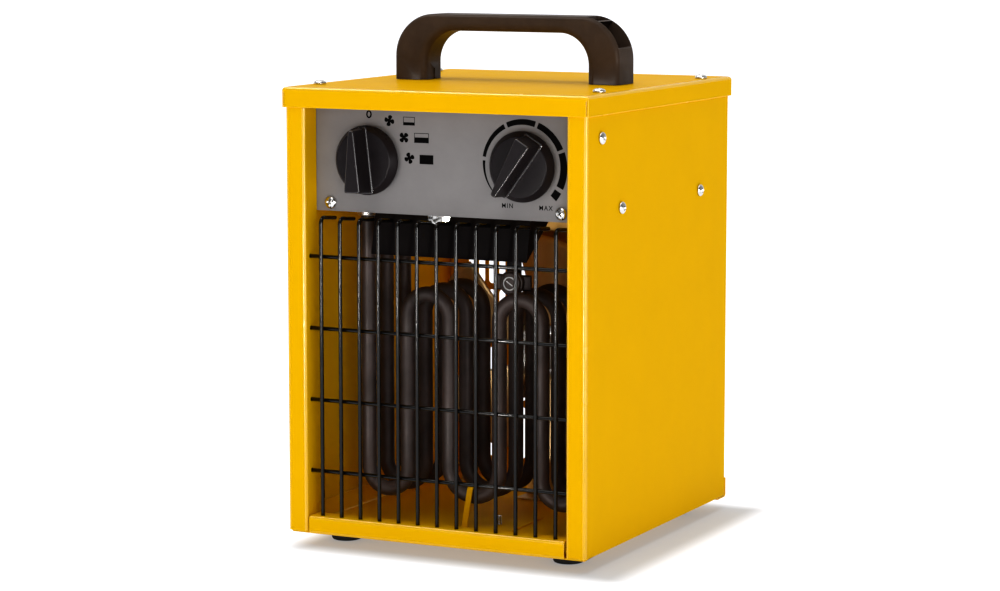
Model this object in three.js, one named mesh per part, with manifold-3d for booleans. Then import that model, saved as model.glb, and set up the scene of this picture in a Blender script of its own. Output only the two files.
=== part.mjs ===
// Portable forced air heater: a folded steel casing with a moulded carry handle, a control panel
// with two knobs, a welded wire outlet grille, three W-shaped sheathed elements and an axial fan.
// Millimetres, +Z up, front of the heater towards -Y, origin on the floor below the casing's middle.

import * as THREE from 'three';
import { mergeGeometries, mergeVertices } from 'three/addons/utils/BufferGeometryUtils.js';
import Module from 'manifold-3d';

const wasm = await Module();
wasm.setup();

// ---------------------------------------------------------------- driving dimensions

// casing
const bodyWidth = 205;
const bodyDepth = 224;
const bodyHeight = 278.6; // lower edge of the side panels to the top of the cover
const sheet = 1;
const seat = 0.3; // gap between parts that rest on one another
const foldRadius = 1; // inside radius of the folds
const frontFlange = 13.5;
const returnFlange = 15;
const topFlange = 14;
const coverOverhang = 1.34;
const coverFlange = 12.6;
const cornerSlit = 0.35;

// tray and feet
const footHeight = 9; // below the side panels
const footRadius = 10;
const footInset = 25;
const footSetback = 30;
const lipHeight = 11.5;
const lipDepth = 12.6;
const lipSideGap = 1;
const trayRearFlange = 13;
const traySideFlange = 13;

// control compartment
const shelfHeight = 201.6; // tray floor to the underside of the shelf
const shelfFlange = 14;
const shelfScrewLift = 5.8; // above the shelf
const shelfScrewY = 62;
const panelFlange = 20;
const panelScrewInset = 23.5; // from the casing's sides
const panelScrewLift = 5.3;

// knobs and what they turn
const knobRadius = 21.5;
const knobFaceRadius = 18;
const knobSkirt = 6;
const knobGap = 2.3; // between the skirt and the panel
const knobHeight = 21;
const gripWidth = 9;
const gripTail = 18.5;
const gripNib = 17;
const knobLift = 32.7; // knob axis above the panel's lower edge
const selectorInset = 50.5; // knob axis from the casing's left side
const thermostatInset = 48.5; // and from its right side
const selectorLean = 6; // degrees, as the knob sits at its off mark
const thermostatLean = -30; // degrees, nib towards its lowest setting
const shaftRadius = 3;
const shaftFlat = 1.8; // flat's distance from the axis
const shaftKey = 2; // start of the flat in front of the knob's back
const shaftTip = 14.5;
const shaftGrip = 8; // length inside the switch body
const shaftCollar = 3; // wall of the knob's hub round the shaft
const switchWidth = 32;
const switchDepth = 24;
const switchCorner = 6;
const thermostatWidth = 38;
const thermostatHeight = 30;
const thermostatDepth = 20;
const bellowsRadius = 11;
const bellowsHeight = 5;
const tabWidth = 4.8;
const tabSheet = 0.8;
const tabLength = 9;
const switchTabSpread = 10;
const switchTabLift = 8;
const thermostatTabSpread = 14;

// capillary, bulb and terminal block
const capillaryRadius = 0.9;
const capillaryBend = 12;
const capillaryClearance = 1;
const bulbRadius = 3;
const bulbLength = 60;
const bulbInset = 18.5; // bulb axis from the casing's right side
const bulbRearGap = 7; // and in front of the rear panel
const bulbDrop = 14; // top of the bulb below the shelf
const bulbClipSheet = 0.8;
const bulbClipHeight = 10;
const bulbClipFoot = 18;
const terminalPoles = 3;
const terminalPitch = 11;
const terminalDepth = 18;
const terminalHeight = 15;
const terminalShoulder = 6; // height of the slope on each side
const terminalStep = 5;
const terminalRearGap = 39.7;
const terminalBore = 2.3;

// grille
const wireRadius = 1.25;
const wireSides = 6;
const verticalCount = 13;
const grilleMargin = 8.6; // outermost wires from the front flanges' edges
const grilleSetback = 4.5;
const weldBite = 0.4;
const wireReturn = 18.5;
const wireBend = 3.5;
const crossWireCount = 4;
const crossWirePitch = 45.1;
const firstCrossWire = 38.4; // above the tray floor
const wireGap = 2.05; // return wires below the shelf
const wireTuck = 3; // wire ends past the sheet that holds them

// heating elements
const elementRadius = 4.75;
const elementSides = 8;
const bendSteps = 3; // per quarter turn
const elementSetback = 56; // casing front to the front element
const elementPitch = 24;
const middleBend = 17.5;
const loopBend = 14.75;
const outerBend = 14;
const elementFloorGap = 20.5; // tray floor to the centre of the lower bends
const loopHeight = 147.3; // tray floor to the centre of the upper bends
const ferruleRadius = 6.8;
const ferruleHeight = 6;
const pinRadius = 1.8;
const pinLength = 12;

// heat shield and cut-out
const shieldWidth = 100;
const shieldDrop = 26;
const shieldFrontTop = 26; // behind the casing front
const shieldFrontFoot = 20;
const shieldRearTop = 57;
const cutoutInset = 28.5; // from the shield's right end
const cutoutDrop = 45.5; // below the shelf
const cutoutRadius = 8;
const cutoutThickness = 6.5;
const cutoutCap = 3;
const cutoutRim = 1;
const cutoutEarLength = 12;
const cutoutEarHeight = 8;
const cutoutStripWidth = 10;
const cutoutStripFoot = 12;
const cutoutStripTail = 9;

// clip over the front element's lower middle bend
const clipOffset = 4; // prong to the left of the middle
const clipProngDepth = 7;
const clipHookWidth = 6;
const clipHookEdge = 1.2;
const clipFootWidth = 31;
const clipFootLength = 57;
const clipLift = 1.7; // hook above the lowest point of the bend, which rises on both sides
const clipScrewOffset = 15; // to the right of the prong
const clipScrewSetback = 13; // behind the front element

// fan and motor
const fanRadius = 75;
const fanBlades = 5;
const fanReach = 18; // middle of the blades in front of the strap
const fanPitch = 24; // degrees
const fanStart = 9; // degrees, first blade clockwise from the top
const bladeShare = 0.68; // of the circle that the tips cover
const bladeRootShare = 0.62; // width at the root against the tip
const bladeCamber = 2.5;
const bladeSheet = 1.4;
const hubRadius = 19;
const hubSheet = 3;
const bladeBite = 3; // blade root inside the hub's edge
const bossRadius = 7;
const bossFront = 4;
const bossBack = 12;
const motorShaftRadius = 2.5;
const motorShaftNose = 6; // in front of the middle of the blades
const rotorRadius = 16;
const airGap = 0.6;
const statorWidth = 60;
const statorHeight = 62;
const statorStack = 20;
const statorCrown = 9; // plates above the rotor
const statorLimb = 11;
const statorCorner = 8;
const statorFootCorner = 3;
const windowDrop = 6; // coil window below the rotor
const coilGap = 0.5;
const coilCheek = 2.2;
const coilStep = 1; // winding below the edge of its cheeks
const bridgeGap = 4;
const bridgeSheet = 3;
const bridgeEye = 6;
const bridgeWaist = 11;
const bridgeBoss = 8;
const bridgeBossRise = 2;
const postSpread = 23;
const postRadius = 4;
const motorShaftTail = 3; // past the rear bridge
const motorClearance = 15.4; // shaft tail to the rear panel
const strapWidth = 34;
const strapFoot = 16;
const strapEye = 9;

// rear panel
const slotWidth = 5;
const slotMargin = 17.8; // outermost slots from the casing's sides
const slotColumns = 23;
const slotRows = 4;
const slotRowPitch = 40;
const slotWeb = 4;
const firstSlotWeb = 11; // centre of the lowest web above the tray floor
const glandInset = 42.5; // from the casing's right side
const glandLift = 29.5; // above the shelf
const glandRadius = 8;

// handle
const handleLength = 157;
const handleHeight = 42;
const handleDepth = 26;
const postWidth = 22;
const gripThickness = 10.6;
const handleOuterBend = 27;
const handleInnerBend = 20;
const handleEdge = 2.6;
const handleFlare = 5.4;
const handleScrewInset = 10; // from the ends of the handle
const notchWidth = 2;
const notchHeight = 7;
const notchDepth = 2.5;
const pocketWall = 3;
const pocketDepth = 9;
const pocketAngles = [[17, 62], [65, 84]]; // degrees above the corner's end face, two pockets

// fasteners
const screwHead = 4;
const screwHeadHeight = 2.5;
const screwShank = 1.8;
const screwLength = 8;
const handleScrewLength = 12;
const screwClearance = 0.4;
const screwSides = 8;
const coverScrewInset = 6.7;
const coverScrewY = 80;
const sideScrewSetback = 4.7; // behind the panel's face
const sideScrewDrop = 23.6;
const rearScrewLift = 6.3;
const rearScrewDrop = 30;

// ---------------------------------------------------------------- derived places

const halfWidth = bodyWidth / 2;
const halfDepth = bodyDepth / 2;
const frontY = -halfDepth;
const rearY = halfDepth;
const sideBottom = footHeight;
const floorTop = sideBottom - seat;
const floorBottom = floorTop - sheet;
const coverTop = sideBottom + bodyHeight;
const sideTop = coverTop - sheet - seat;
const wallX = halfWidth - sheet; // inner face of a side panel
const foldOuter = foldRadius + sheet;
const lipTop = floorBottom + lipHeight;
const flangeX = halfWidth - frontFlange; // free edge of the front flanges
const shelfBottom = floorTop + shelfHeight;
const shelfTop = shelfBottom + sheet;
const panelFront = frontY + returnFlange + seat;
const panelBack = panelFront + sheet;
const panelBottom = shelfBottom; // the panel covers the shelf's front edge
const panelTop = sideTop - sheet - seat;
const knobZ = panelBottom + knobLift;
const knobBack = panelFront - knobGap;
const rearPanelFront = rearY - sheet - seat - sheet;
const trayRearY = rearY + seat + sheet;
const screwBore = screwShank + screwClearance;
const shelfScrewZ = shelfTop + shelfScrewLift;
const sideScrewY = panelFront + sideScrewSetback;
const sideScrewZ = panelTop - sideScrewDrop;
const rearScrewX = halfWidth - frontFlange / 2;
const lowerRearScrewZ = floorTop + rearScrewLift;
const upperRearScrewZ = panelTop - rearScrewDrop;
const panelScrewX = halfWidth - panelScrewInset;
const panelScrewZ = panelBottom + panelScrewLift;
const selectorX = -halfWidth + selectorInset;
const thermostatX = halfWidth - thermostatInset;
const bulbX = halfWidth - bulbInset;
const bulbY = rearPanelFront - bulbRearGap;
const bulbTop = shelfBottom - bulbDrop;
const glandX = halfWidth - glandInset;
const glandZ = shelfTop + glandLift;
const slotPitch = (2 * (halfWidth - slotMargin)) / (slotColumns - 1);
const verticalPitch = (2 * (flangeX - grilleMargin)) / (verticalCount - 1);
const verticalWireY = frontY + grilleSetback;
const crossWireY = verticalWireY + 2 * wireRadius - weldBite;
const wireTop = shelfBottom - wireRadius - wireGap;
const elementBottom = floorTop + elementFloorGap;
const elementTop = floorTop + loopHeight;
const innerLegX = middleBend;
const middleLegX = innerLegX + 2 * loopBend;
const outerLegX = middleLegX + 2 * outerBend;
const cutoutX = shieldWidth / 2 - cutoutInset;
const cutoutZ = shelfBottom - cutoutDrop;
const clipX = -clipOffset;
const clipScrewX = clipX + clipScrewOffset;
const clipScrewY = frontY + elementSetback + clipScrewSetback;
const bridgeStack = bridgeGap + bridgeSheet;
const statorBack = rearPanelFront - motorClearance - motorShaftTail - bridgeStack;
const statorFront = statorBack - statorStack;
const strapY = statorFront - bridgeStack - seat - sheet;
const fanY = strapY - fanReach;
const fanZ = (floorTop + shelfBottom) / 2;
const handleX = handleLength / 2 - handleScrewInset;

// ---------------------------------------------------------------- materials

function material(color, roughness, metalness) {
  return new THREE.MeshStandardMaterial({ color, roughness, metalness });
}

const yellowPaint = () => material(0xf5bd05, 0.4, 0);
const greyPaint = () => material(0x7b787b, 0.5, 0.2);
const blackPlastic = () => material(0x2a2422, 0.5, 0);
const knobPlastic = () => material(0x171516, 0.45, 0);
const blackWire = () => material(0x141312, 0.45, 0.3);
const blackSheet = () => material(0x0d0b0b, 0.6, 0.2);
const sheathSteel = () => material(0x3a3132, 0.55, 0.6);
const zinc = () => material(0xc9c9c6, 0.3, 0.9);
const aluminium = () => material(0xb9b9b7, 0.3, 0.9);
const motorSteel = () => material(0x6a6c70, 0.5, 0.8);
const copper = () => material(0xa8602c, 0.4, 0.8);
const rubber = () => material(0x121212, 0.9, 0);
const whitePlastic = () => material(0xd8d5cc, 0.6, 0);

// ---------------------------------------------------------------- solid helpers

function solid(geometry) {
  const bare = geometry.index ? geometry.toNonIndexed() : geometry.clone();
  bare.deleteAttribute('normal');
  bare.deleteAttribute('uv');
  const merged = mergeVertices(bare, 1e-4);
  return new wasm.Manifold(new wasm.Mesh({
    numProp: 3,
    vertProperties: new Float32Array(merged.attributes.position.array),
    triVerts: new Uint32Array(merged.index.array),
  }));
}

function geometryOf(manifold) {
  const { vertProperties, triVerts } = manifold.getMesh();
  const geometry = new THREE.BufferGeometry();
  geometry.setAttribute('position', new THREE.BufferAttribute(vertProperties, 3));
  geometry.setIndex(new THREE.BufferAttribute(triVerts, 1));
  geometry.computeVertexNormals();
  return geometry;
}

function joined(parts) {
  return parts.reduce((whole, part) => whole.add(part));
}

function without(whole, cuts) {
  return cuts.reduce((rest, cut) => rest.subtract(cut), whole);
}

function block(x0, x1, y0, y1, z0, z1) {
  const geometry = new THREE.BoxGeometry(x1 - x0, y1 - y0, z1 - z0);
  return solid(geometry.translate((x0 + x1) / 2, (y0 + y1) / 2, (z0 + z1) / 2));
}

// A round bar from start to end along one axis, through the point whose other coordinates are given.
function bar(axis, radius, start, end, [x, y, z], sides = 8) {
  const geometry = new THREE.CylinderGeometry(radius, radius, end - start, sides);
  if (axis === 'x') geometry.rotateZ(-Math.PI / 2);
  if (axis === 'z') geometry.rotateX(Math.PI / 2);
  const middle = (start + end) / 2;
  const centre = { x: [middle, y, z], y: [x, middle, z], z: [x, y, middle] }[axis];
  return solid(geometry.translate(...centre));
}

function shapeOf(points) {
  const shape = new THREE.Shape(points.map(([a, b]) => new THREE.Vector2(a, b)));
  return shape;
}

// Extrudes an outline drawn in the plane across the axis: XY for z, XZ for y, YZ for x.
function prism(axis, points, start, end) {
  const options = { depth: end - start, bevelEnabled: false, curveSegments: 12 };
  const geometry = new THREE.ExtrudeGeometry(shapeOf(points), options);
  if (axis === 'z') geometry.translate(0, 0, start);
  if (axis === 'y') geometry.rotateX(Math.PI / 2).translate(0, end, 0);
  if (axis === 'x') geometry.rotateZ(Math.PI / 2).rotateY(Math.PI / 2).translate(start, 0, 0);
  return solid(geometry);
}

function turned(profile, sides) {
  const points = profile.map(([radius, height]) => new THREE.Vector2(radius, height));
  return new THREE.LatheGeometry(points, sides).rotateX(Math.PI / 2);
}

// Joins rings with equal numbers of points, each a flat outline, into one closed body.
function loft(rings) {
  const count = rings[0].length;
  const positions = rings.flat(2);
  const index = [];
  for (let ring = 0; ring < rings.length - 1; ring += 1) {
    for (let i = 0; i < count; i += 1) {
      const a = ring * count + i;
      const b = ring * count + ((i + 1) % count);
      index.push(a, b, b + count, a, b + count, a + count);
    }
  }
  const flat = flatOutline(rings[0]);
  const last = (rings.length - 1) * count;
  const leftward = THREE.ShapeUtils.area(flat) > 0;
  for (const [a, p, q] of THREE.ShapeUtils.triangulateShape(flat, [])) {
    const [b, c] = leftward ? [p, q] : [q, p];
    index.push(a, c, b);
    index.push(last + a, last + b, last + c);
  }
  const geometry = new THREE.BufferGeometry();
  geometry.setAttribute('position', new THREE.Float32BufferAttribute(positions, 3));
  geometry.setIndex(index);
  return solid(geometry);
}

// The outline of a flat ring in the two coordinates that vary, turning the same way as the ring.
function flatOutline(ring) {
  const spread = [0, 1, 2].map((k) => {
    const values = ring.map((point) => point[k]);
    return Math.max(...values) - Math.min(...values);
  });
  const flatAxis = spread.indexOf(Math.min(...spread));
  const [u, v] = [[1, 2], [2, 0], [0, 1]][flatAxis];
  return ring.map((point) => new THREE.Vector2(point[u], point[v]));
}

function arc(centreA, centreB, radius, from, to, steps) {
  const points = [];
  for (let i = 0; i <= steps; i += 1) {
    const angle = THREE.MathUtils.degToRad(from + ((to - from) * i) / steps);
    points.push([centreA + radius * Math.cos(angle), centreB + radius * Math.sin(angle)]);
  }
  return points;
}

// Section of a folded sheet: the corners lie on its outer face, and the metal lies to their right.
function foldedSection(corners, thickness = sheet, foldSteps = 3) {
  const outer = [];
  const inner = [];
  const place = ([x, y]) => new THREE.Vector2(x, y);
  const rightOf = (d) => new THREE.Vector2(d.y, -d.x);
  const points = corners.map(place);
  points.forEach((corner, i) => {
    const before = points[i - 1] ?? null;
    const after = points[i + 1] ?? null;
    const inward = before ? corner.clone().sub(before).normalize() : null;
    const onward = after ? after.clone().sub(corner).normalize() : null;
    if (!inward || !onward) {
      outer.push(corner);
      inner.push(corner.clone().addScaledVector(rightOf(inward ?? onward), thickness));
      return;
    }
    const start = corner.clone().addScaledVector(inward, -foldOuter);
    const centre = start.clone().addScaledVector(rightOf(inward), foldOuter);
    const spoke = start.clone().sub(centre);
    for (let step = 0; step <= foldSteps; step += 1) {
      const turn = (-Math.PI / 2) * (step / foldSteps);
      const arm = spoke.clone().rotateAround(new THREE.Vector2(), turn);
      outer.push(centre.clone().add(arm));
      inner.push(centre.clone().addScaledVector(arm, (foldOuter - thickness) / foldOuter));
    }
  });
  return [...outer, ...inner.reverse()].map((point) => [point.x, point.y]);
}

// A bent rod's centre line, sampled only at its own stations, so straight runs stay one step long.
class RodLine extends THREE.Curve {
  constructor(stations) {
    super();
    this.stations = stations;
  }

  get steps() {
    return this.stations.length - 1;
  }

  getPoint(t) {
    return this.stations[Math.round(t * this.steps)].point.clone();
  }

  getPointAt(t) {
    return this.getPoint(t);
  }

  getTangentAt(t) {
    return this.stations[Math.round(t * this.steps)].tangent.clone();
  }
}

// Stations of a rod in a plane: straight ends and round corners, given as [a, b] and a bend radius.
function rodStations(corners, radii, steps, toSpace) {
  const points = corners.map(([a, b]) => new THREE.Vector2(a, b));
  const stations = [];
  const add = (point, tangent) => {
    const start = toSpace(point.x, point.y);
    const end = toSpace(point.x + tangent.x, point.y + tangent.y);
    stations.push({ point: start, tangent: end.sub(start).normalize() });
  };
  points.forEach((corner, i) => {
    if (i === 0 || i === points.length - 1) {
      const other = i === 0 ? points[1] : points[i - 1];
      const along = i === 0 ? other.clone().sub(corner) : corner.clone().sub(other);
      add(corner, along.normalize());
      return;
    }
    const inward = corner.clone().sub(points[i - 1]).normalize();
    const onward = points[i + 1].clone().sub(corner).normalize();
    const turn = Math.sign(inward.cross(onward));
    const angle = Math.acos(THREE.MathUtils.clamp(inward.dot(onward), -1, 1));
    const radius = radii[i - 1];
    const start = corner.clone().addScaledVector(inward, -radius * Math.tan(angle / 2));
    const side = new THREE.Vector2(-inward.y, inward.x).multiplyScalar(turn);
    const centre = start.clone().addScaledVector(side, radius);
    for (let step = 0; step <= steps; step += 1) {
      const turned = (turn * angle * step) / steps;
      const origin = new THREE.Vector2();
      const point = start.clone().sub(centre).rotateAround(origin, turned).add(centre);
      add(point, inward.clone().rotateAround(origin, turned));
    }
  });
  return stations;
}

function rod(stations, radius, sides) {
  const path = new RodLine(stations);
  const circle = shapeOf(arc(0, 0, radius, 0, 360, sides).slice(0, sides));
  const options = { steps: path.steps, extrudePath: path, bevelEnabled: false };
  return solid(new THREE.ExtrudeGeometry(circle, options));
}

// ---------------------------------------------------------------- scene graph

const heater = new THREE.Group();

function add(name, form, look, parent = heater) {
  const geometry = form.isBufferGeometry ? form : geometryOf(form);
  const mesh = new THREE.Mesh(geometry, look);
  mesh.name = name;
  parent.add(mesh);
  return mesh;
}

const sides = [['left', -1], ['right', 1]];
const ends = [['front', -1], ['rear', 1]];

// ---------------------------------------------------------------- casing

function coverRing(inset, z) {
  const x = halfWidth + coverOverhang - inset;
  const y = halfDepth + coverOverhang - inset;
  return [[-x, -y, z], [x, -y, z], [x, y, z], [-x, y, z]];
}

function coverShell(inset, top, radius, bottom) {
  const rings = [coverRing(inset, bottom)];
  for (const [a, b] of arc(0, 0, radius, 0, 90, 3)) {
    rings.push(coverRing(inset + radius - a, top - radius + b));
  }
  return loft(rings);
}

function cornerSlits() {
  const x = halfWidth + coverOverhang - sheet;
  const y = halfDepth + coverOverhang;
  const bottom = coverTop - coverFlange - 1;
  return sides.flatMap(([, sx]) => ends.map(([, sy]) => {
    const xs = [sx * x, sx * (x - cornerSlit)].sort((a, b) => a - b);
    const ys = [sy * (y - sheet - 1), sy * (y + 1)].sort((a, b) => a - b);
    return block(...xs, ...ys, bottom, coverTop - foldOuter - 1);
  }));
}

function topCover() {
  const bottom = coverTop - coverFlange;
  const outside = coverShell(0, coverTop, foldOuter, bottom);
  const inside = coverShell(sheet, coverTop - sheet, foldRadius, bottom - 1);
  const through = [coverTop - sheet - 1, coverTop + 1];
  const screwHoles = coverScrewPlaces().map((at) => bar('z', screwBore, ...through, at));
  const handleHoles = sides.map(([, s]) => bar('z', screwBore, ...through, [s * handleX, 0, 0]));
  return without(outside.subtract(inside), [...cornerSlits(), ...screwHoles, ...handleHoles]);
}

function coverScrewPlaces() {
  const x = halfWidth - coverScrewInset;
  return ends.flatMap(([, sy]) => sides.map(([, sx]) => [sx * x, sy * coverScrewY, 0]));
}

function crossWireHeights() {
  return Array.from({ length: crossWireCount }, (_, i) => floorTop + firstCrossWire + i * crossWirePitch);
}

// The right-hand panel; the left one is its mirror image.
function sidePanel(side) {
  const section = foldedSection([
    [flangeX, rearY],
    [halfWidth, rearY],
    [halfWidth, frontY],
    [flangeX, frontY],
    [flangeX, frontY + returnFlange],
  ]);
  const wall = prism('z', section, sideBottom, sideTop);
  const flangeFront = frontY + returnFlange + 2;
  const flangeRear = rearPanelFront - seat;
  const flange = block(halfWidth - topFlange, wallX + sheet / 2, flangeFront, flangeRear,
    sideTop - sheet, sideTop);
  const screws = sideScrewPlaces().map(([y, z]) => bar('x', screwBore, wallX - 1, halfWidth + 1, [0, y, z]));
  const coverBores = ends.map(([, s]) =>
    bar('z', screwBore, sideTop - sheet - 1, sideTop + 1, [halfWidth - coverScrewInset, s * coverScrewY, 0]));
  const wireHoles = crossWireHeights().map((z) =>
    bar('x', wireRadius + seat, flangeX - 1, flangeX + sheet + 1, [0, crossWireY, z], wireSides));
  const rearBores = [lowerRearScrewZ, upperRearScrewZ].map((z) =>
    bar('y', screwBore, rearY - sheet - 1, rearY + 1, [rearScrewX, 0, z]));
  const panel = without(wall.add(flange), [...screws, ...coverBores, ...wireHoles, ...rearBores]);
  return side > 0 ? panel : panel.mirror([1, 0, 0]);
}

function sideScrewPlaces() {
  return [[sideScrewY, sideScrewZ], [-shelfScrewY, shelfScrewZ], [shelfScrewY, shelfScrewZ]];
}

function footPlaces() {
  const x = halfWidth - footInset;
  const y = halfDepth - footSetback;
  return ends.flatMap(([end, sy]) => sides.map(([side, sx]) => [`${end}_${side}`, sx * x, sy * y]));
}

function verticalWirePlaces() {
  const first = (-(verticalCount - 1) / 2) * verticalPitch;
  return Array.from({ length: verticalCount }, (_, i) => first + i * verticalPitch);
}

function bottomTray() {
  const lipHalf = flangeX - lipSideGap;
  const floorX = wallX - seat;
  const lipSection = foldedSection([
    [frontY + lipDepth + foldOuter, floorBottom],
    [frontY, floorBottom],
    [frontY, lipTop],
    [frontY + lipDepth, lipTop],
  ]);
  const rearSection = foldedSection([
    [trayRearY, floorBottom + trayRearFlange],
    [trayRearY, floorBottom],
    [rearY - lipDepth, floorBottom],
  ]);
  const lip = prism('x', lipSection, -lipHalf, lipHalf);
  const rear = prism('x', rearSection, -halfWidth, halfWidth);
  const floor = block(-floorX, floorX, frontY + foldOuter, rearY - foldOuter, floorBottom, floorTop);
  const flangeFront = frontY + returnFlange + 2;
  const flangeRear = rearPanelFront - seat;
  const upstands = [[-floorX, -floorX + sheet], [floorX - sheet, floorX]].map(([x0, x1]) =>
    block(x0, x1, flangeFront, flangeRear, floorBottom, floorBottom + traySideFlange));
  const through = [floorBottom - 1, floorTop + 1];
  const cuts = [
    ...footPlaces().map(([, x, y]) => bar('z', screwBore, ...through, [x, y, 0])),
    bar('z', screwBore, ...through, [clipScrewX, clipScrewY, 0]),
    ...verticalWirePlaces().map((x) =>
      bar('z', wireRadius + seat, lipTop - sheet - 1, lipTop + 1, [x, verticalWireY, 0], wireSides)),
    ...sides.map(([, s]) =>
      bar('y', screwBore, rearY - 1, trayRearY + 1, [s * rearScrewX, 0, lowerRearScrewZ])),
  ];
  return without(joined([lip, rear, floor, ...upstands]), cuts);
}

function slot(x, z0, z1) {
  const r = slotWidth / 2;
  const outline = [
    ...arc(x, z1 - r, r, 0, 180, 3),
    ...arc(x, z0 + r, r, 180, 360, 3),
  ];
  return prism('y', outline, rearPanelFront - 1, rearPanelFront + sheet + 1);
}

function rearPanel() {
  const x = wallX - 2 * seat;
  const plate = block(-x, x, rearPanelFront, rearPanelFront + sheet, floorTop + seat, panelTop);
  const firstX = (-(slotColumns - 1) / 2) * slotPitch;
  const slots = [];
  for (let column = 0; column < slotColumns; column += 1) {
    for (let row = 0; row < slotRows; row += 1) {
      const bottom = floorTop + firstSlotWeb + row * slotRowPitch + slotWeb / 2;
      slots.push(slot(firstX + column * slotPitch, bottom, bottom + slotRowPitch - slotWeb));
    }
  }
  const through = [rearPanelFront - 1, rearPanelFront + sheet + 1];
  const bores = sides.flatMap(([, s]) => [lowerRearScrewZ, upperRearScrewZ].map((z) =>
    bar('y', screwBore, ...through, [s * rearScrewX, 0, z])));
  const glandHole = bar('y', glandRadius + seat, ...through, [glandX, 0, glandZ], 14);
  return without(plate, [...slots, ...bores, glandHole]);
}

// ---------------------------------------------------------------- control compartment

function controlPanel() {
  const x = wallX - seat;
  const section = foldedSection([
    [x, panelFront + panelFlange],
    [x, panelFront],
    [-x, panelFront],
    [-x, panelFront + panelFlange],
  ]);
  const through = [panelFront - 1, panelBack + 1];
  const cuts = [
    bar('y', shaftRadius + 1, ...through, [selectorX, 0, knobZ], 12),
    bar('y', shaftRadius + 1, ...through, [thermostatX, 0, knobZ], 12),
    ...sides.map(([, s]) => bar('y', screwBore, ...through, [s * panelScrewX, 0, panelScrewZ])),
    bar('x', screwBore, -halfWidth, halfWidth, [0, sideScrewY, sideScrewZ]),
  ];
  return without(prism('z', section, panelBottom, panelTop), cuts);
}

function compartmentShelf() {
  const x = wallX - seat;
  const section = foldedSection([
    [x, shelfBottom + shelfFlange],
    [x, shelfBottom],
    [-x, shelfBottom],
    [-x, shelfBottom + shelfFlange],
  ]);
  const front = panelBack + seat;
  const back = rearPanelFront - seat;
  const wingFront = panelFront + panelFlange + 2;
  const wings = prism('y', section, wingFront, back);
  const deckX = x - sheet - seat;
  const deck = block(-deckX, deckX, front, wingFront + 1, shelfBottom, shelfTop);
  const apronHalf = flangeX + 4;
  const apron = block(-apronHalf, apronHalf, front, front + sheet, shelfBottom, shelfBottom + shelfFlange);
  const cuts = [
    ...elementPlanes().flatMap(([, y]) => sides.map(([, s]) =>
      bar('z', elementRadius + 1, shelfBottom - 1, shelfTop + 1, [s * outerLegX, y, 0], 10))),
    ...sides.map(([, s]) =>
      bar('y', screwBore, front - 1, front + sheet + 1, [s * panelScrewX, 0, panelScrewZ])),
    ...[-1, 1].map((s) => bar('x', screwBore, -halfWidth, halfWidth, [0, s * shelfScrewY, shelfScrewZ])),
    bar('z', capillaryRadius + 1, shelfBottom - 1, shelfTop + 1, [bulbX, bulbY, 0], 12),
  ];
  return without(joined([wings, deck, apron]), cuts);
}

// Turned part of a knob: a bevelled skirt, open behind, round a hub for the shaft.
function knobBody() {
  const cavity = knobSkirt - 2.2;
  const hub = shaftRadius + shaftCollar;
  return solid(turned([
    [0, 0.6], [hub, 0.6], [hub, cavity], [knobFaceRadius - 1.2, cavity], [knobRadius - 1.6, 0],
    [knobRadius, 0], [knobRadius, 1.4], [knobFaceRadius + 0.6, knobSkirt - 0.4],
    [knobFaceRadius, knobSkirt], [hub, knobSkirt], [hub, knobHeight - 3], [0, knobHeight - 3],
  ], 22));
}

// Outline of the grip across its height: a straight bar, a drawn-in nib at one end, a blunt tail.
function gripRing(height, inset) {
  const half = gripWidth / 2 - inset;
  const tail = gripTail - inset;
  const nib = gripNib - inset;
  const shoulder = nib - half;
  return [
    [-half * 0.55, -nib, height],
    [half * 0.55, -nib, height],
    [half, -shoulder, height],
    [half, tail - 1.2, height],
    [half * 0.8, tail, height],
    [-half * 0.8, tail, height],
    [-half, tail - 1.2, height],
    [-half, -shoulder, height],
  ];
}

function knob() {
  const draft = 0.8;
  const rings = [
    gripRing(knobSkirt - 1, -draft),
    gripRing(knobHeight - 0.9, 0),
    gripRing(knobHeight - 0.25, 0.3),
    gripRing(knobHeight, 0.9),
  ];
  const bore = shaftForm(shaftRadius + seat, shaftFlat + seat, shaftKey + seat, -1, shaftTip + seat);
  return knobBody().add(loft(rings)).subtract(bore);
}

function placeOnPanel(mesh, x, lean) {
  mesh.position.set(x, knobBack, knobZ);
  mesh.rotation.set(Math.PI / 2, 0, THREE.MathUtils.degToRad(lean), 'XYZ');
  return mesh;
}

// Round shaft along Z with a flat on one side from the key height up.
function shaftForm(radius, flat, key, start, end) {
  const round = bar('z', radius, start, end, [0, 0, 0], 12);
  return round.subtract(block(-radius - 1, radius + 1, flat, radius + 1, key, end + 1));
}

// Knob shaft, reaching back through the panel into the switch body.
function controlShaft() {
  const inside = knobGap + sheet + seat + shaftGrip;
  return shaftForm(shaftRadius, shaftFlat, shaftKey, -inside, shaftTip);
}

function shaftBore(x) {
  const start = panelBack + seat;
  return bar('y', shaftRadius + seat, start - 1, start + shaftGrip + seat, [x, 0, knobZ], 12);
}

function terminalTab(x, y, z) {
  const half = tabWidth / 2;
  return block(x - half, x + half, y - sheet, y + tabLength, z - tabSheet / 2, z + tabSheet / 2);
}

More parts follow.
